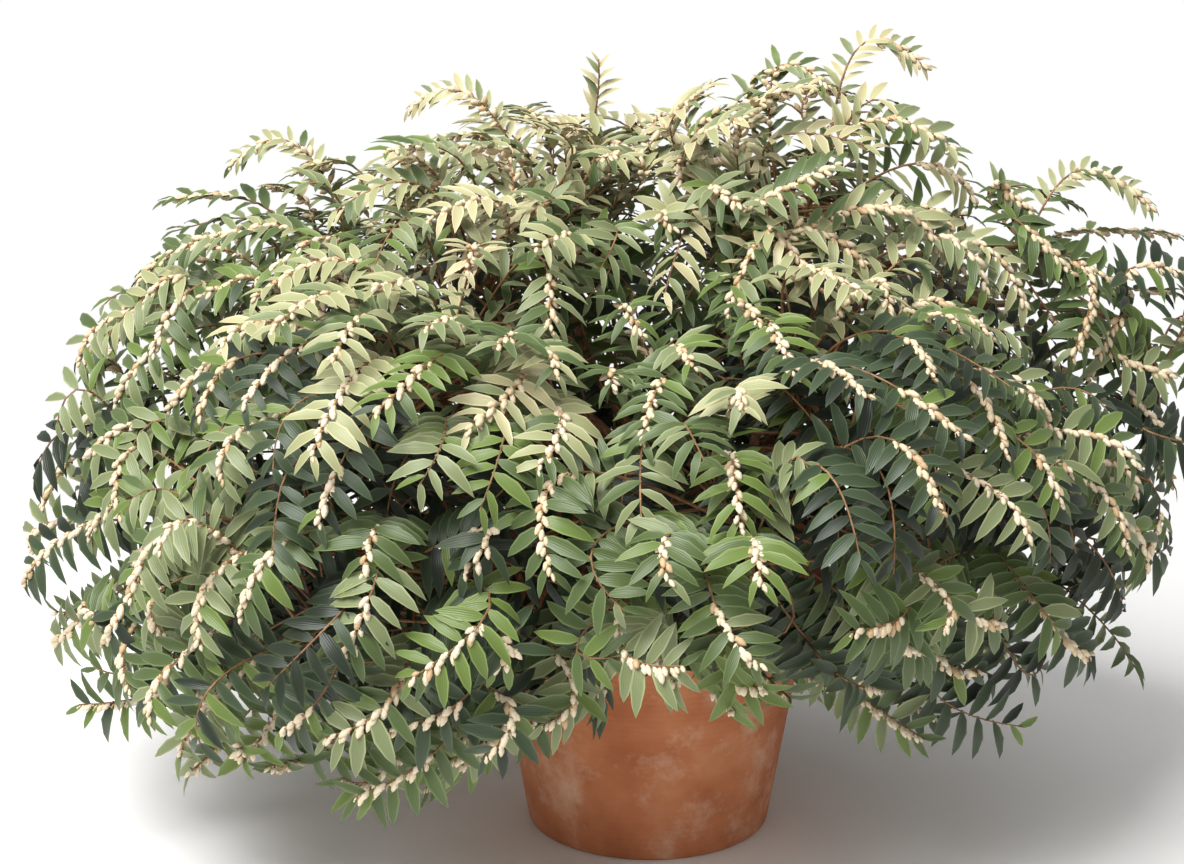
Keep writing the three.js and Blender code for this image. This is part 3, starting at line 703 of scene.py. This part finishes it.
def makeWood(bark):
    s = stool
    steps = np.linspace(0, 1, 16)
    shape = np.interp(steps, [0, 0.12, 0.3, 0.6, 0.85, 1],
                      [s["flare"], s["flare"] * 0.8, s["waist"] * 1.12, s["waist"], s["top"] * 1.14,
                       s["top"] * 0.6])
    profile = [(0, soilTop + 0.3)] + [(r, soilTop + 0.3 + t * s["height"]) for r, t in zip(shape, steps)]
    profile.append((0, soilTop + s["height"]))
    knuckle = addTurned("stool_wood", bark, profile, s["sides"], stoolWobble)
    places = [vertex.co for vertex in knuckle.data.vertices]
    giveValues(knuckle.data, "along", [place.z for place in places])
    giveValues(knuckle.data, "around", [math.atan2(place.y, place.x) / (2 * math.pi) for place in places])
    handIn(knuckle, "bark", "stool")
    for name, limb in limbs.items():
        # a limb swells a little where it leaves its parent
        collar = 1 + collars["swell"] * np.exp(-np.linspace(0, limb["length"], limbSteps) / collars["reach"])
        piece = linesObject(name + "_wood", [(limb["points"], limb["radii"] * collar)])
        grown(piece, tubes, {"Sides": 14, "Ridge Depth": barkLook["ridgeDepth"] * mm, "Skin": bark})
        handIn(piece, "bark", name)
    print("wood made:", len(limbs), "limbs")


makeWood(makeBark())


# Shoots: how far uphill of its tip each comes over, its points and thickness, the share that flowers, how
# unevenly they end and stray, where their curve's handles lie, and how far they keep off the pot.
shoots = {"hangs": (60, 190), "points": 18, "thick": 1.8, "thin": 0.85, "leadThick": 5, "flowering": 0.72,
          "ragged": 30, "stray": 0.28, "climb": 0.9, "turn": 0.4, "bow": 16, "potRoom": 7}
# Layers of shoots from the outside in: what share of the crown's reach they have and how far apart they are.
layers = {"outer": (1.0, 57), "inner": (0.78, 80), "deep": (0.56, 90), "core": (0.32, 85)}
insideLayers = ("inner", "deep", "core", "lead")
# Upright shoots stand straight at the crown's middle and lean fully this far from it. Their last bend lies
# back from the tip and over it where they lean, and under it where they stand. The middle ones are bare.
uprights = {"leansAt": 250, "back": 90, "over": 85, "under": 70, "bare": 100}
# Single shoots past the outside: upright or hanging, which way from the crown's middle, how far and how high.
sprigs = [
    {"turn": 275, "out": 12, "high": 854}, {"turn": 250, "out": 235, "high": 792},
    {"turn": 92, "out": 338, "high": 842}, {"turn": 80, "out": 232, "high": 828},
    {"turn": 268, "out": 410, "high": 738}, {"turn": 92, "out": 590, "high": 690},
    {"turn": 270, "out": 620, "high": 240, "hangs": True},
    {"turn": 281, "out": 585, "high": 172, "hangs": True},
    {"turn": 301, "out": 500, "high": 155, "hangs": True},
    {"turn": 83, "out": 580, "high": 200, "hangs": True},
    {"turn": 53, "out": 400, "high": 185, "hangs": True},
    {"turn": 84, "out": 455, "high": 690},
]
rng = np.random.default_rng(crown["seed"])


# Directions evenly spread round a ball, apart from its foot.
def evenDirections(count):
    k = np.arange(count)
    height = 1 - 2 * (k + 0.5) / count
    flat = np.sqrt(1 - height ** 2)
    turn = k * math.pi * (3 - math.sqrt(5))
    made = np.stack([flat * np.cos(turn), flat * np.sin(turn), height], 1)
    return made[made[:, 2] > -0.62]


# Picks places one by one, each the farthest from those before, until they are closer than apart.
def spreadOut(places, apart, taken):
    room = np.full(len(places), 1e9)
    for other in taken:
        room = np.minimum(room, np.linalg.norm(places - other, axis=1))
    chosen = []
    while True:
        best = int(np.argmax(room))
        if room[best] < apart:
            return chosen
        chosen.append(best)
        room = np.minimum(room, np.linalg.norm(places - places[best], axis=1))


# One leading twig in each mass goes on from its limb: how far out and up in the mass it ends, and how far
# its end sinks and points down, in degrees, by the mass's droop.
leadPose = {"out": 0.42, "up": 0.25, "sink": 0.55, "down": 70, "points": 24}
leads = []
for mass in masses:
    limb = next(limb for limb in limbs.values() if limb["mass"] is mass)
    arrival = unit(limb["points"][-1] - limb["points"][-2])
    end = (mass["centre"] + mass["outward"] * mass["size"][0] * leadPose["out"]
           + up * mass["size"][2] * (leadPose["up"] - leadPose["sink"] * mass["droop"]))
    sinking = climbing(mass["outward"], -leadPose["down"] * mass["droop"])
    leads.append(evenCurve(arched(mass["entry"], arrival, end, sinking), leadPose["points"])[0])


def shootPaths():
    made = []
    directions = evenDirections(7000)
    outer = outsideFrom(np.repeat(heart[None], len(directions), 0), directions)
    single = []
    for sprig in sprigs:
        angle = math.radians(sprig["turn"])
        single.append(np.array([crown["middle"] + sprig["out"] * math.sin(angle),
                                -sprig["out"] * math.cos(angle), sprig["high"]]))
    for layer, (share, apart) in layers.items():
        places = heart + (outer - heart) * share
        places = places[offPot(places, 12) & offWood(places, 10)]
        chosen = places[spreadOut(places, apart, single if layer == "outer" else [])]
        for tip, owner, outside in zip(chosen, cellOf(chosen)[0], outwardAt(chosen)):
            made.append(growShoot(tip, owner, outside, layer))
    for tip, sprig in zip(single, sprigs):
        owner = cellOf(tip[None])[0][0]
        hangs = "hangs" in sprig
        outside = outwardAt(tip[None])[0] if hangs else unit(front + up * 0.3)
        made.append(growShoot(tip, owner, outside, "trailing" if hangs else "upright"))
    return made


# A shoot comes up out of its mass, lies over on the outside and hangs to its tip.
def growShoot(tip, owner, outside, layer):
    lead = leads[owner]
    start = lead[int(len(lead) * rng.uniform(0.05, 0.9))]
    hang = rng.uniform(*shoots["hangs"])
    tip = tip + outside * (rng.uniform(-1, 1) * shoots["ragged"] if layer == "outer" else 0)
    flowers = False
    if layer == "upright":
        u = uprights
        away = (tip - crownTop) * (1, 1, 0)
        lean = min(1.0, np.linalg.norm(away) / u["leansAt"])
        before = tip - unit(away) * u["back"] * lean - up * u["under"] * (1 - lean) + up * u["over"] * lean
        control = [start, start + (before - start) * 0.6, before, tip]
        flowers = np.linalg.norm(away) > u["bare"]
    else:
        uphill = crownTop - tip
        uphill = unit(uphill - outside * (uphill @ outside))
        uphill = unit(uphill + np.cross(outside, uphill) * rng.normal(0, shoots["stray"]))
        back = unit(tip + uphill * hang - heart)
        bend = outsideFrom(heart[None], back[None])[0]
        if layer in insideLayers:
            bend = heart + (bend - heart) * (layers[layer][0] + 0.06)
        control = [start, start + (bend - start) * shoots["climb"],
                   bend + (tip - bend) * shoots["turn"] + outside * shoots["bow"], tip]
    points, length = evenCurve(control, shoots["points"])
    reach = np.hypot(points[:, 0], points[:, 1])
    clear = potSize["rim"] + shoots["potRoom"]
    besidePot = (points[:, 2] < potSize["height"] + 5) & (reach < clear)
    points[:, :2] *= np.where(besidePot, clear / reach, 1)[:, None]
    if layer in ("outer", "trailing"):
        flowers = rng.random() < shoots["flowering"]
    return {"points": points, "length": length, "outside": outside, "owner": int(owner), "layer": layer,
            "flowers": flowers}


allShoots = shootPaths()
for index, (lead, mass) in enumerate(zip(leads, masses)):
    length = np.linalg.norm(np.diff(lead, axis=0), axis=1).sum()
    allShoots.append({"points": lead, "length": length, "outside": mass["outward"], "owner": index,
                      "layer": "lead", "flowers": False})
print("shoots:", len(allShoots))


# Roughness of a leaf's blade, underside and edge, and their colours by tint, roughly from pale to dark.
leafParts = {"LeafBlade": 0.42, "LeafBack": 0.6, "LeafEdge": 0.45}
leafTints = {
    "creamSage": ("b1ab82", "beb48c", "cdc19a"),
    "paleSage": ("979a6e", "aba87e", "b3ad84"),
    "greySage": ("757f57", "949970", "91976d"),
    "leafGreen": ("4c5c32", "707b4e", "627346"),
    "limeGreen": ("607336", "838e54", "768749"),
    "slateGreen": ("36442d", "566243", "4a593a"),
    "deepShade": ("1d2718", "323d28", "2d3923"),
}
tintNames = list(leafTints)
paleTints = 3  # the first of them
leafSize = {"length": 50, "width": 14.2, "least": 0.9, "edge": 0.76, "keel": 0.7, "sunk": 1.5}
# How leaves sit on a shoot: where they start back from its tip and end, how far apart, how far they lean
# towards the tip in degrees, how much they turn to the light and the front, and how large they are.
leafPose = {"first": 4.0, "leafy": 165, "most": 0.88, "pitch": 8.4, "insidePitch": 1.2, "light": 0.9,
            "tipLean": 62, "leanLoss": 0.9, "leastLean": 16, "tipSize": 0.55, "fullAt": 80,
            "sizes": (0.84, 1.08), "uprightSize": 0.72, "ownTint": 0.66}
# High up, leaves grow smaller, lean further along their twig and lift off it.
highLeaves = {"from": 470, "to": 720, "lean": 20, "lift": 0.26, "shrink": 0.18}
# Kinds of leaf: how far each curls down and folds, and where along it has points; the last two lie inside.
fineStations, plainStations = (0.0, 0.2, 0.48, 0.8), (0.0, 0.3, 0.68)
leafKinds = [{"curl": curl, "fold": fold, "stations": stations} for curl, fold, stations in (
    (0.16, 0.2, fineStations), (0.27, 0.26, fineStations), (0.08, 0.34, fineStations),
    (0.36, 0.16, fineStations), (0.12, 0.25, plainStations), (0.25, 0.18, plainStations))]
outerKinds = 4


# Leathery evergreen leaf: a soft waxy gloss over a plain green, with faint veins raised along it.
leafLook = {"specular": 0.4, "sheen": 0.05, "veinDepth": 0.25, "veinStrength": 0.5}


def makeLeafSkin(name, colour, roughness):
    look = leafLook
    material, tree, surface = startMaterial(name, roughness, look["specular"])
    surface.inputs["Base Color"].default_value = linear(colour)
    surface.inputs["Sheen Weight"].default_value = look["sheen"]
    place = addNode(tree, "ShaderNodeTexCoord").outputs["UV"]
    veins = addNode(tree, "ShaderNodeTexWave",
                    {"Vector": place, "Scale": 2.2, "Distortion": 1.5, "Detail": 1.0},
                    wave_type="BANDS", bands_direction="X")
    bumped(tree, surface, veins.outputs["Fac"], look["veinDepth"], look["veinStrength"])
    return material


# A leaf along +Y with its top towards +Z: folded at the rib, curled down to its tip, closed below by a keel.
def leafMesh(kind, shape):
    s = leafSize
    points, uvs = [], []

    def halfWidth(t):
        return (t ** 0.75) * (1 - t) ** 0.95 / (0.44 ** 0.75 * 0.56 ** 0.95) * s["width"] / 2

    def drop(t):
        return -shape["curl"] * s["length"] * t ** 2.2 + 0.05 * s["length"] * math.sin(math.pi * t)

    for t in shape["stations"]:
        half = max(halfWidth(t), s["least"])
        y, z = t * s["length"] - s["sunk"], drop(t)
        for x in (-half, -half * s["edge"], 0, half * s["edge"], half):
            points.append((x, y, z + abs(x) * shape["fold"]))
            uvs.append((x / s["width"] + 0.5, t))
        points.append((0, y, z - s["keel"]))
        uvs.append((0.5, t))
    tip = len(points)
    points.append((0, s["length"] - s["sunk"], drop(1.0)))
    uvs.append((0.5, 1))
    strips = ((0, 2), (1, 0), (2, 0), (3, 2), (4, 1), (5, 1))
    faces, parts = [(5, i + 1, i) for i in range(4)], [1] * 4
    last = 6 * (len(shape["stations"]) - 1)
    for a in range(0, last, 6):
        for i, part in strips:
            j = (i + 1) % 6
            faces.append((a + i, a + j, a + 6 + j, a + 6 + i))
            parts.append(part)
    for i, part in strips:
        faces.append((last + i, last + (i + 1) % 6, tip))
        parts.append(part)
    mesh = plainMesh(f"leafKind_{kind}", np.array(points) * mm, faces)
    giveValues(mesh, "part", parts, "INT", "FACE")
    layer = mesh.uv_layers.new(name="UVMap")
    loops = np.array([uvs[loop.vertex_index] for loop in mesh.loops], np.float32)
    layer.data.foreach_set("uv", loops.ravel())
    mesh.shade_smooth()
    mesh.set_sharp_from_angle(angle=math.radians(42))
    return mesh


# Euler angles of frames whose axes are the rows of x, y and z.
def eulers(x, y, z):
    return np.stack([np.arctan2(y[:, 2], z[:, 2]), -np.arcsin(np.clip(x[:, 2], -1, 1)),
                     np.arctan2(x[:, 1], x[:, 0])], 1)


# Puts copies of the given shapes on points: which shape, how turned and how large come from attributes.
# Each part of each tint is a code, and gets its own material.
def scatterTree(name, codes, partCount):
    tree, given, result = newTree(name, {"Kinds": "Collection",
                                         **{f"Skin {code}": "Material" for code in range(codes)}})
    shapes = addNode(tree, "GeometryNodeCollectionInfo",
                     {"Collection": given["Kinds"], "Separate Children": True, "Reset Children": True})
    placed = addNode(tree, "GeometryNodeInstanceOnPoints",
                     {"Points": given["Geometry"], "Instance": shapes.outputs["Instances"],
                      "Pick Instance": True, "Instance Index": attribute(tree, "kind", "INT"),
                      "Rotation": attribute(tree, "turn", "FLOAT_VECTOR"),
                      "Scale": attribute(tree, "size", "FLOAT_VECTOR")})
    real = addNode(tree, "GeometryNodeRealizeInstances", {"Geometry": placed.outputs["Instances"]})
    flow = real.outputs["Geometry"]
    code = worked(tree, "MULTIPLY_ADD", attribute(tree, "tint", "INT"), float(partCount),
                  attribute(tree, "part", "INT"))
    for value in range(codes):
        same = addNode(tree, "FunctionNodeCompare", {0: code, 1: float(value), "Epsilon": 0.1},
                       data_type="FLOAT", operation="EQUAL")
        flow = painted(tree, flow, given[f"Skin {value}"], same.outputs["Result"])
    tree.links.new(flow, result)
    return tree


# Each row is a place, three axes, a size along them, a kind of shape and a tint.
def scatter(name, tree, kinds, skins, rows):
    places, x, y, z, scales, kind, tint = zip(*rows)
    piece = addObject(name, plainMesh(name, np.array(places) * mm, []))
    turns = eulers(*(np.array(axis) for axis in (x, y, z)))
    giveValues(piece.data, "turn", turns, "FLOAT_VECTOR")
    giveValues(piece.data, "size", scales, "FLOAT_VECTOR")
    giveValues(piece.data, "kind", kind, "INT")
    giveValues(piece.data, "tint", tint, "INT")
    return grown(piece, tree, {"Kinds": kinds, **{f"Skin {code}": skin for code, skin in enumerate(skins)}})


# Makes every mass's piece of leaves or bells from its rows, in skins for each part of each tint.
def dress(ending, shapes, tints, parts, makeSkin, rows):
    kinds = bpy.data.collections.new(ending)
    bpy.context.scene.collection.children.link(kinds)
    for shape in shapes:
        kinds.objects.link(bpy.data.objects.new(shape.name, shape))
    skins = [makeSkin(name + part, colour, roughness) for name, colours in tints.items()
             for (part, roughness), colour in zip(parts.items(), colours)]
    tree = scatterTree(ending, len(skins), len(parts))
    for mass, own in zip(masses, rows):
        if own:
            handIn(scatter(f"{mass['name']}_{ending}", tree, kinds, skins, own), "foliage", mass["name"])
    for shape in list(kinds.objects):
        bpy.data.objects.remove(shape)
    bpy.data.collections.remove(kinds)
    print(ending + ":", sum(len(own) for own in rows))


# A spray's tint comes from its place and a draw. Sprays inside the crown and low down take dark tints as
# painted shade; high sprays take pale tints, partly the paler young growth and partly painted light from
# above. Each row starts at a height, and gives each tint the draws up to its number.
highTints = (
    (0.79, {"creamSage": 0.48, "paleSage": 0.85, "greySage": 1}),
    (0.66, {"paleSage": 0.5, "greySage": 0.7, "leafGreen": 0.8, "limeGreen": 0.88, "creamSage": 1}),
    (0.48, {"greySage": 0.24, "leafGreen": 0.58, "limeGreen": 0.68, "paleSage": 0.73, "slateGreen": 1}))
sprayTints = {
    "deep": ((0.55, {"slateGreen": 0.35, "leafGreen": 0.7, "greySage": 1}), (-math.inf, {"deepShade": 1})),
    "inner": ((0.6, {"paleSage": 0.38, "greySage": 0.74, "leafGreen": 1}),
              (-math.inf, {"deepShade": 0.75, "slateGreen": 0.93, "leafGreen": 1})),
    "flowering": (*highTints, (-math.inf, {"leafGreen": 0.44, "slateGreen": 0.68, "greySage": 0.88,
                                           "limeGreen": 1})),
    "green": (*highTints, (-math.inf, {"slateGreen": 0.5, "deepShade": 0.78, "leafGreen": 1})),
}
# Heights are counted as shares from foot to top, a little lower towards the right and unevenly, so the right
# side takes darker tints.
spraySpan = {"foot": 100, "tall": 700, "right": 0.1, "rightReach": 400, "uneven": 0.06}


def tintOf(shoot):
    span, tip = spraySpan, shoot["points"][-1]
    height = ((tip[2] - span["foot"]) / span["tall"] - span["right"] * max(tip[0], 0) / span["rightReach"]
              + rng.normal(0, span["uneven"]))
    draw = rng.random()
    # shoots inside the crown take darker tints than outer ones at the same height: painted shade
    if shoot["layer"] in insideLayers:
        where = "inner" if shoot["layer"] == "inner" else "deep"
    else:
        where = "flowering" if shoot["flowers"] else "green"
    shares = next(shares for least, shares in sprayTints[where] if height > least)
    return next(tint for tint, share in shares.items() if draw < share)


# Place and heading of a path at a distance back from its tip.
def across(path, back, length):
    share = (1 - back / length) * (len(path) - 1)
    low = min(max(int(share), 0), len(path) - 2)
    return path[low] + (path[low + 1] - path[low]) * (share - low), unit(path[low + 1] - path[low])


def leafRows(shoot):
    p, h = leafPose, highLeaves
    path, length, outside = shoot["points"], shoot["length"], shoot["outside"]
    facing = unit(outside + up * p["light"] + front * p["light"] * abs(outside[0]))
    tint = tintNames.index(shoot["tint"])
    inside = shoot["layer"] in insideLayers
    small = p["uprightSize"] if shoot["layer"] == "upright" else 1
    rows = []
    back, side = p["first"], -1
    while back < min(p["leafy"], length * p["most"]):
        root, forward = across(path, back, length)
        sideways = unit(np.cross(forward, facing)) * side
        high = min(max((root[2] - h["from"]) / (h["to"] - h["from"]), 0), 1)
        lean = max(p["leastLean"] + h["lean"] * high, p["tipLean"] - back * p["leanLoss"])
        lean = math.radians(lean + rng.normal(0, 4))
        direction = sideways * math.cos(lean) + forward * math.sin(lean)
        rise = h["lift"] * high - rng.uniform(-0.04, 0.16)
        direction = unit(direction - facing * rng.normal(0.1, 0.08) + up * rise)
        turned = unit(facing + sideways * rng.normal(0.1, 0.14) + forward * rng.normal(0, 0.12))
        z = unit(turned - direction * (turned @ direction))
        x = np.cross(direction, z)
        size = min(1, p["tipSize"] + back / p["fullAt"]) * rng.uniform(*p["sizes"]) * small
        size *= 1 - h["shrink"] * high
        # now and then a leaf has a neighbouring tint, on pale sprays always a greener one
        stray = rng.integers(1, 3) if tint < paleTints else rng.integers(-1, 2)
        own = tint if rng.random() < p["ownTint"] else min(max(tint + stray, 0), len(tintNames) - 1)
        kind = int(rng.integers(outerKinds, len(leafKinds)) if inside else rng.integers(outerKinds))
        rows.append([root, x, direction, z, (size * rng.uniform(0.88, 1.12), size, size), kind, own])
        back += p["pitch"] * rng.uniform(0.85, 1.15) * (p["insidePitch"] if inside else small)
        side = -side
    return rows


def growLeaves():
    rows = [[] for _ in masses]
    for shoot in allShoots:
        shoot["tint"] = tintOf(shoot)
        rows[shoot["owner"]] += leafRows(shoot)
    for index, own in enumerate(rows):
        roots = np.array([row[0] for row in own])
        tips = roots + np.array([row[2] * leafSize["length"] * row[4][1] for row in own])
        rows[index] = clearRows(own, tips, (roots + tips) / 2)
    shapes = [leafMesh(kind, shape) for kind, shape in enumerate(leafKinds)]
    dress("leaves", shapes, leafTints, leafParts, makeLeafSkin, rows)


growLeaves()


# Young wood: reddish tan, smooth, a little paler where the light bleaches it.
twigLook = {"roughness": 0.6, "specular": 0.4, "patch": 22, "grain": 22, "detail": 4.0, "depth": 0.4,
            "tones": [(0.3, "68482f"), (0.5, "87603f"), (0.7, "a37c57")], "sides": 4}


def growTwigs():
    skin = makeMottled("youngReddishWood", twigLook)
    for index, mass in enumerate(masses):
        lines = []
        for shoot in allShoots:
            if shoot["owner"] == index:
                thick = shoots["leadThick"] if shoot["layer"] == "lead" else shoots["thick"]
                lines.append((shoot["points"], np.linspace(thick, shoots["thin"], len(shoot["points"]))))
        piece = linesObject(mass["name"] + "_twigs", lines)
        grown(piece, tubes, {"Sides": twigLook["sides"], "Ridge Depth": 0.0, "Skin": skin})
        handIn(piece, "foliage", mass["name"])


growTwigs()
print("twigs made")


# Blossom: urn-shaped bells in a chain along the outer part of each flowering shoot.
# A bell's profile goes from its stalk, as shares of its length and radius; sizes grow back from the tip.
bell = {"length": 14.2, "radius": 3.7, "sides": 5, "pitch": 5.7, "run": (60, 150), "first": 3, "swing": 0.95,
        "profile": ((0.06, 0.36), (0.26, 0.88), (0.54, 1.0), (0.83, 0.6)), "tipSize": 0.6, "fullAt": 60,
        "sizes": (0.8, 1.1), "ownTint": 0.7}
bellLook = {"specular": 0.35, "grain": 1.5, "depth": 0.15, "strength": 0.4}
bellParts = {"Petal": 0.55, "Calyx": 0.75}
bellTints = {"ivory": ("e5d4b7", "a58059"), "cream": ("dec9a7", "9c7852"), "tan": ("c6a982", "85603f")}


# Waxy petals joined in a matt urn, with a brown papery calyx.
def makeBellSkin(name, colour, roughness):
    look = bellLook
    material, tree, surface = startMaterial(name, roughness, look["specular"])
    surface.inputs["Base Color"].default_value = linear(colour)
    grain = noise(tree, objectPlace(tree), 1 / (look["grain"] * mm), 2.0)
    bumped(tree, surface, grain, look["depth"], look["strength"])
    return material


def bellMesh():
    b = bell
    points, faces, parts = [(0, -0.5, 0)], [], []
    for along, wide in b["profile"]:
        for i in range(b["sides"]):
            angle = 2 * math.pi * (i + 0.5 * (along > 0.5)) / b["sides"]
            points.append((wide * b["radius"] * math.cos(angle), along * b["length"],
                           wide * b["radius"] * math.sin(angle)))
    points.append((0, b["length"], 0))
    n = b["sides"]
    rings = len(b["profile"])
    for i in range(n):
        j = (i + 1) % n
        faces.append((0, 1 + i, 1 + j))
        parts.append(1)
        for k in range(rings - 1):
            a, c = 1 + k * n, 1 + (k + 1) * n
            faces.append((a + i, c + i, c + j, a + j))
            parts.append(1 if k == 0 and i % 2 else 0)
        last = 1 + (rings - 1) * n
        faces.append((last + i, len(points) - 1, last + j))
        parts.append(0)
    mesh = plainMesh("bellKind_0", np.array(points) * mm, faces)
    giveValues(mesh, "part", parts, "INT", "FACE")
    mesh.shade_smooth()
    return mesh


def bellRows(shoot):
    b = bell
    path, length = shoot["points"], shoot["length"]
    facing = unit(shoot["outside"] + up * 0.3)
    height = (path[-1][2] - spraySpan["foot"]) / spraySpan["tall"] + rng.normal(0, 0.12)
    usual = 1 if height > 0.6 else 0
    run = min(rng.uniform(*b["run"]), length * 0.6)
    rows, back, j = [], b["first"], 0
    while back < run:
        root, forward = across(path, back, length)
        sideways = unit(np.cross(forward, facing))
        swing = ((j % 3) - 1) * b["swing"] + rng.normal(0, 0.25)
        radial = facing * math.cos(swing) + sideways * math.sin(swing)
        direction = unit(radial * 0.6 + forward * rng.uniform(0.4, 0.9) - up * rng.uniform(0.35, 0.85))
        x = unit(np.cross(direction, forward + radial * 0.3))
        z = np.cross(x, direction)
        size = min(1, b["tipSize"] + back / b["fullAt"]) * rng.uniform(*b["sizes"])
        tint = usual if rng.random() < b["ownTint"] else int(rng.integers(len(bellTints)))
        scale = (size, size * rng.uniform(0.85, 1.15), size)
        rows.append([root + radial * 0.8, x, direction, z, scale, 0, tint])
        back += b["pitch"] * rng.uniform(0.8, 1.2)
        j += 1
    return rows


def growBlossom():
    rows = []
    for index in range(len(masses)):
        own = []
        for shoot in allShoots:
            if shoot["owner"] == index and shoot["flowers"]:
                own += bellRows(shoot)
        tips = np.array([row[0] + row[2] * bell["length"] for row in own]).reshape(-1, 3)
        rows.append(clearRows(own, tips))
    dress("blossom", [bellMesh()], bellTints, bellParts, makeBellSkin, rows)


growBlossom()


# A white ground that fades out, white surroundings, and one broad light from above; lengths are metres.
studio = {"ground": 2.2, "open": 1.0, "ambient": 0.5, "key": 250, "keySize": 2.4,
          "keyPlace": (-1.3, -1.9, 3.6), "keyAim": (0, 0, 0.4)}


def makeStudio():
    paper, tree, surface = startMaterial("mattPaper", 0.9, 0.2)
    surface.inputs["Base Color"].default_value = linear("fbfaf8")
    far = addNode(tree, "ShaderNodeVectorMath", {0: objectPlace(tree)}, operation="LENGTH").outputs["Value"]
    fade = addNode(tree, "ShaderNodeMapRange",
                   {"Value": far, "From Min": studio["open"], "From Max": studio["ground"],
                    "To Min": 1.0, "To Max": 0.0}, interpolation_type="SMOOTHSTEP")
    tree.links.new(fade.outputs["Result"], surface.inputs["Alpha"])
    half = studio["ground"]
    corners = [(-half, -half, 0), (half, -half, 0), (half, half, 0), (-half, half, 0)]
    ground = addObject("ground", plainMesh("ground", corners, [(0, 1, 2, 3)]))
    ground.data.materials.append(paper)
    ground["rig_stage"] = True
    world = bpy.data.worlds.new("surround")
    world.use_nodes = True
    tree = world.node_tree
    ambient = tree.nodes["Background"]
    ambient.inputs["Color"].default_value = linear("ffffff")
    ambient.inputs["Strength"].default_value = studio["ambient"]
    white = addNode(tree, "ShaderNodeBackground", {"Color": linear("ffffff"), "Strength": 1.0})
    seen = addNode(tree, "ShaderNodeLightPath").outputs["Is Camera Ray"]
    both = addNode(tree, "ShaderNodeMixShader", {0: seen, 1: ambient.outputs[0], 2: white.outputs[0]})
    tree.links.new(both.outputs[0], tree.nodes["World Output"].inputs["Surface"])
    bpy.context.scene.world = world
    light = bpy.data.lights.new("key", "AREA")
    light.energy = studio["key"]
    light.size = studio["keySize"]
    key = addObject("key", light)
    key.location = studio["keyPlace"]
    key.rotation_euler = (Vector(studio["keyAim"]) - key.location).to_track_quat("-Z", "Y").to_euler()
    bpy.context.scene.view_settings.view_transform = "Standard"


makeStudio()
print("studio made")


def triangles(piece):
    return sum(len(face.vertices) - 2 for face in piece.data.polygons)


made = [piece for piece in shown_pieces() if piece.type == "MESH" and "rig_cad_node" not in piece]
print("triangles:", sum(triangles(piece) for piece in made), "in", len(made), "pieces; most in one:",
      max(triangles(piece) for piece in made))
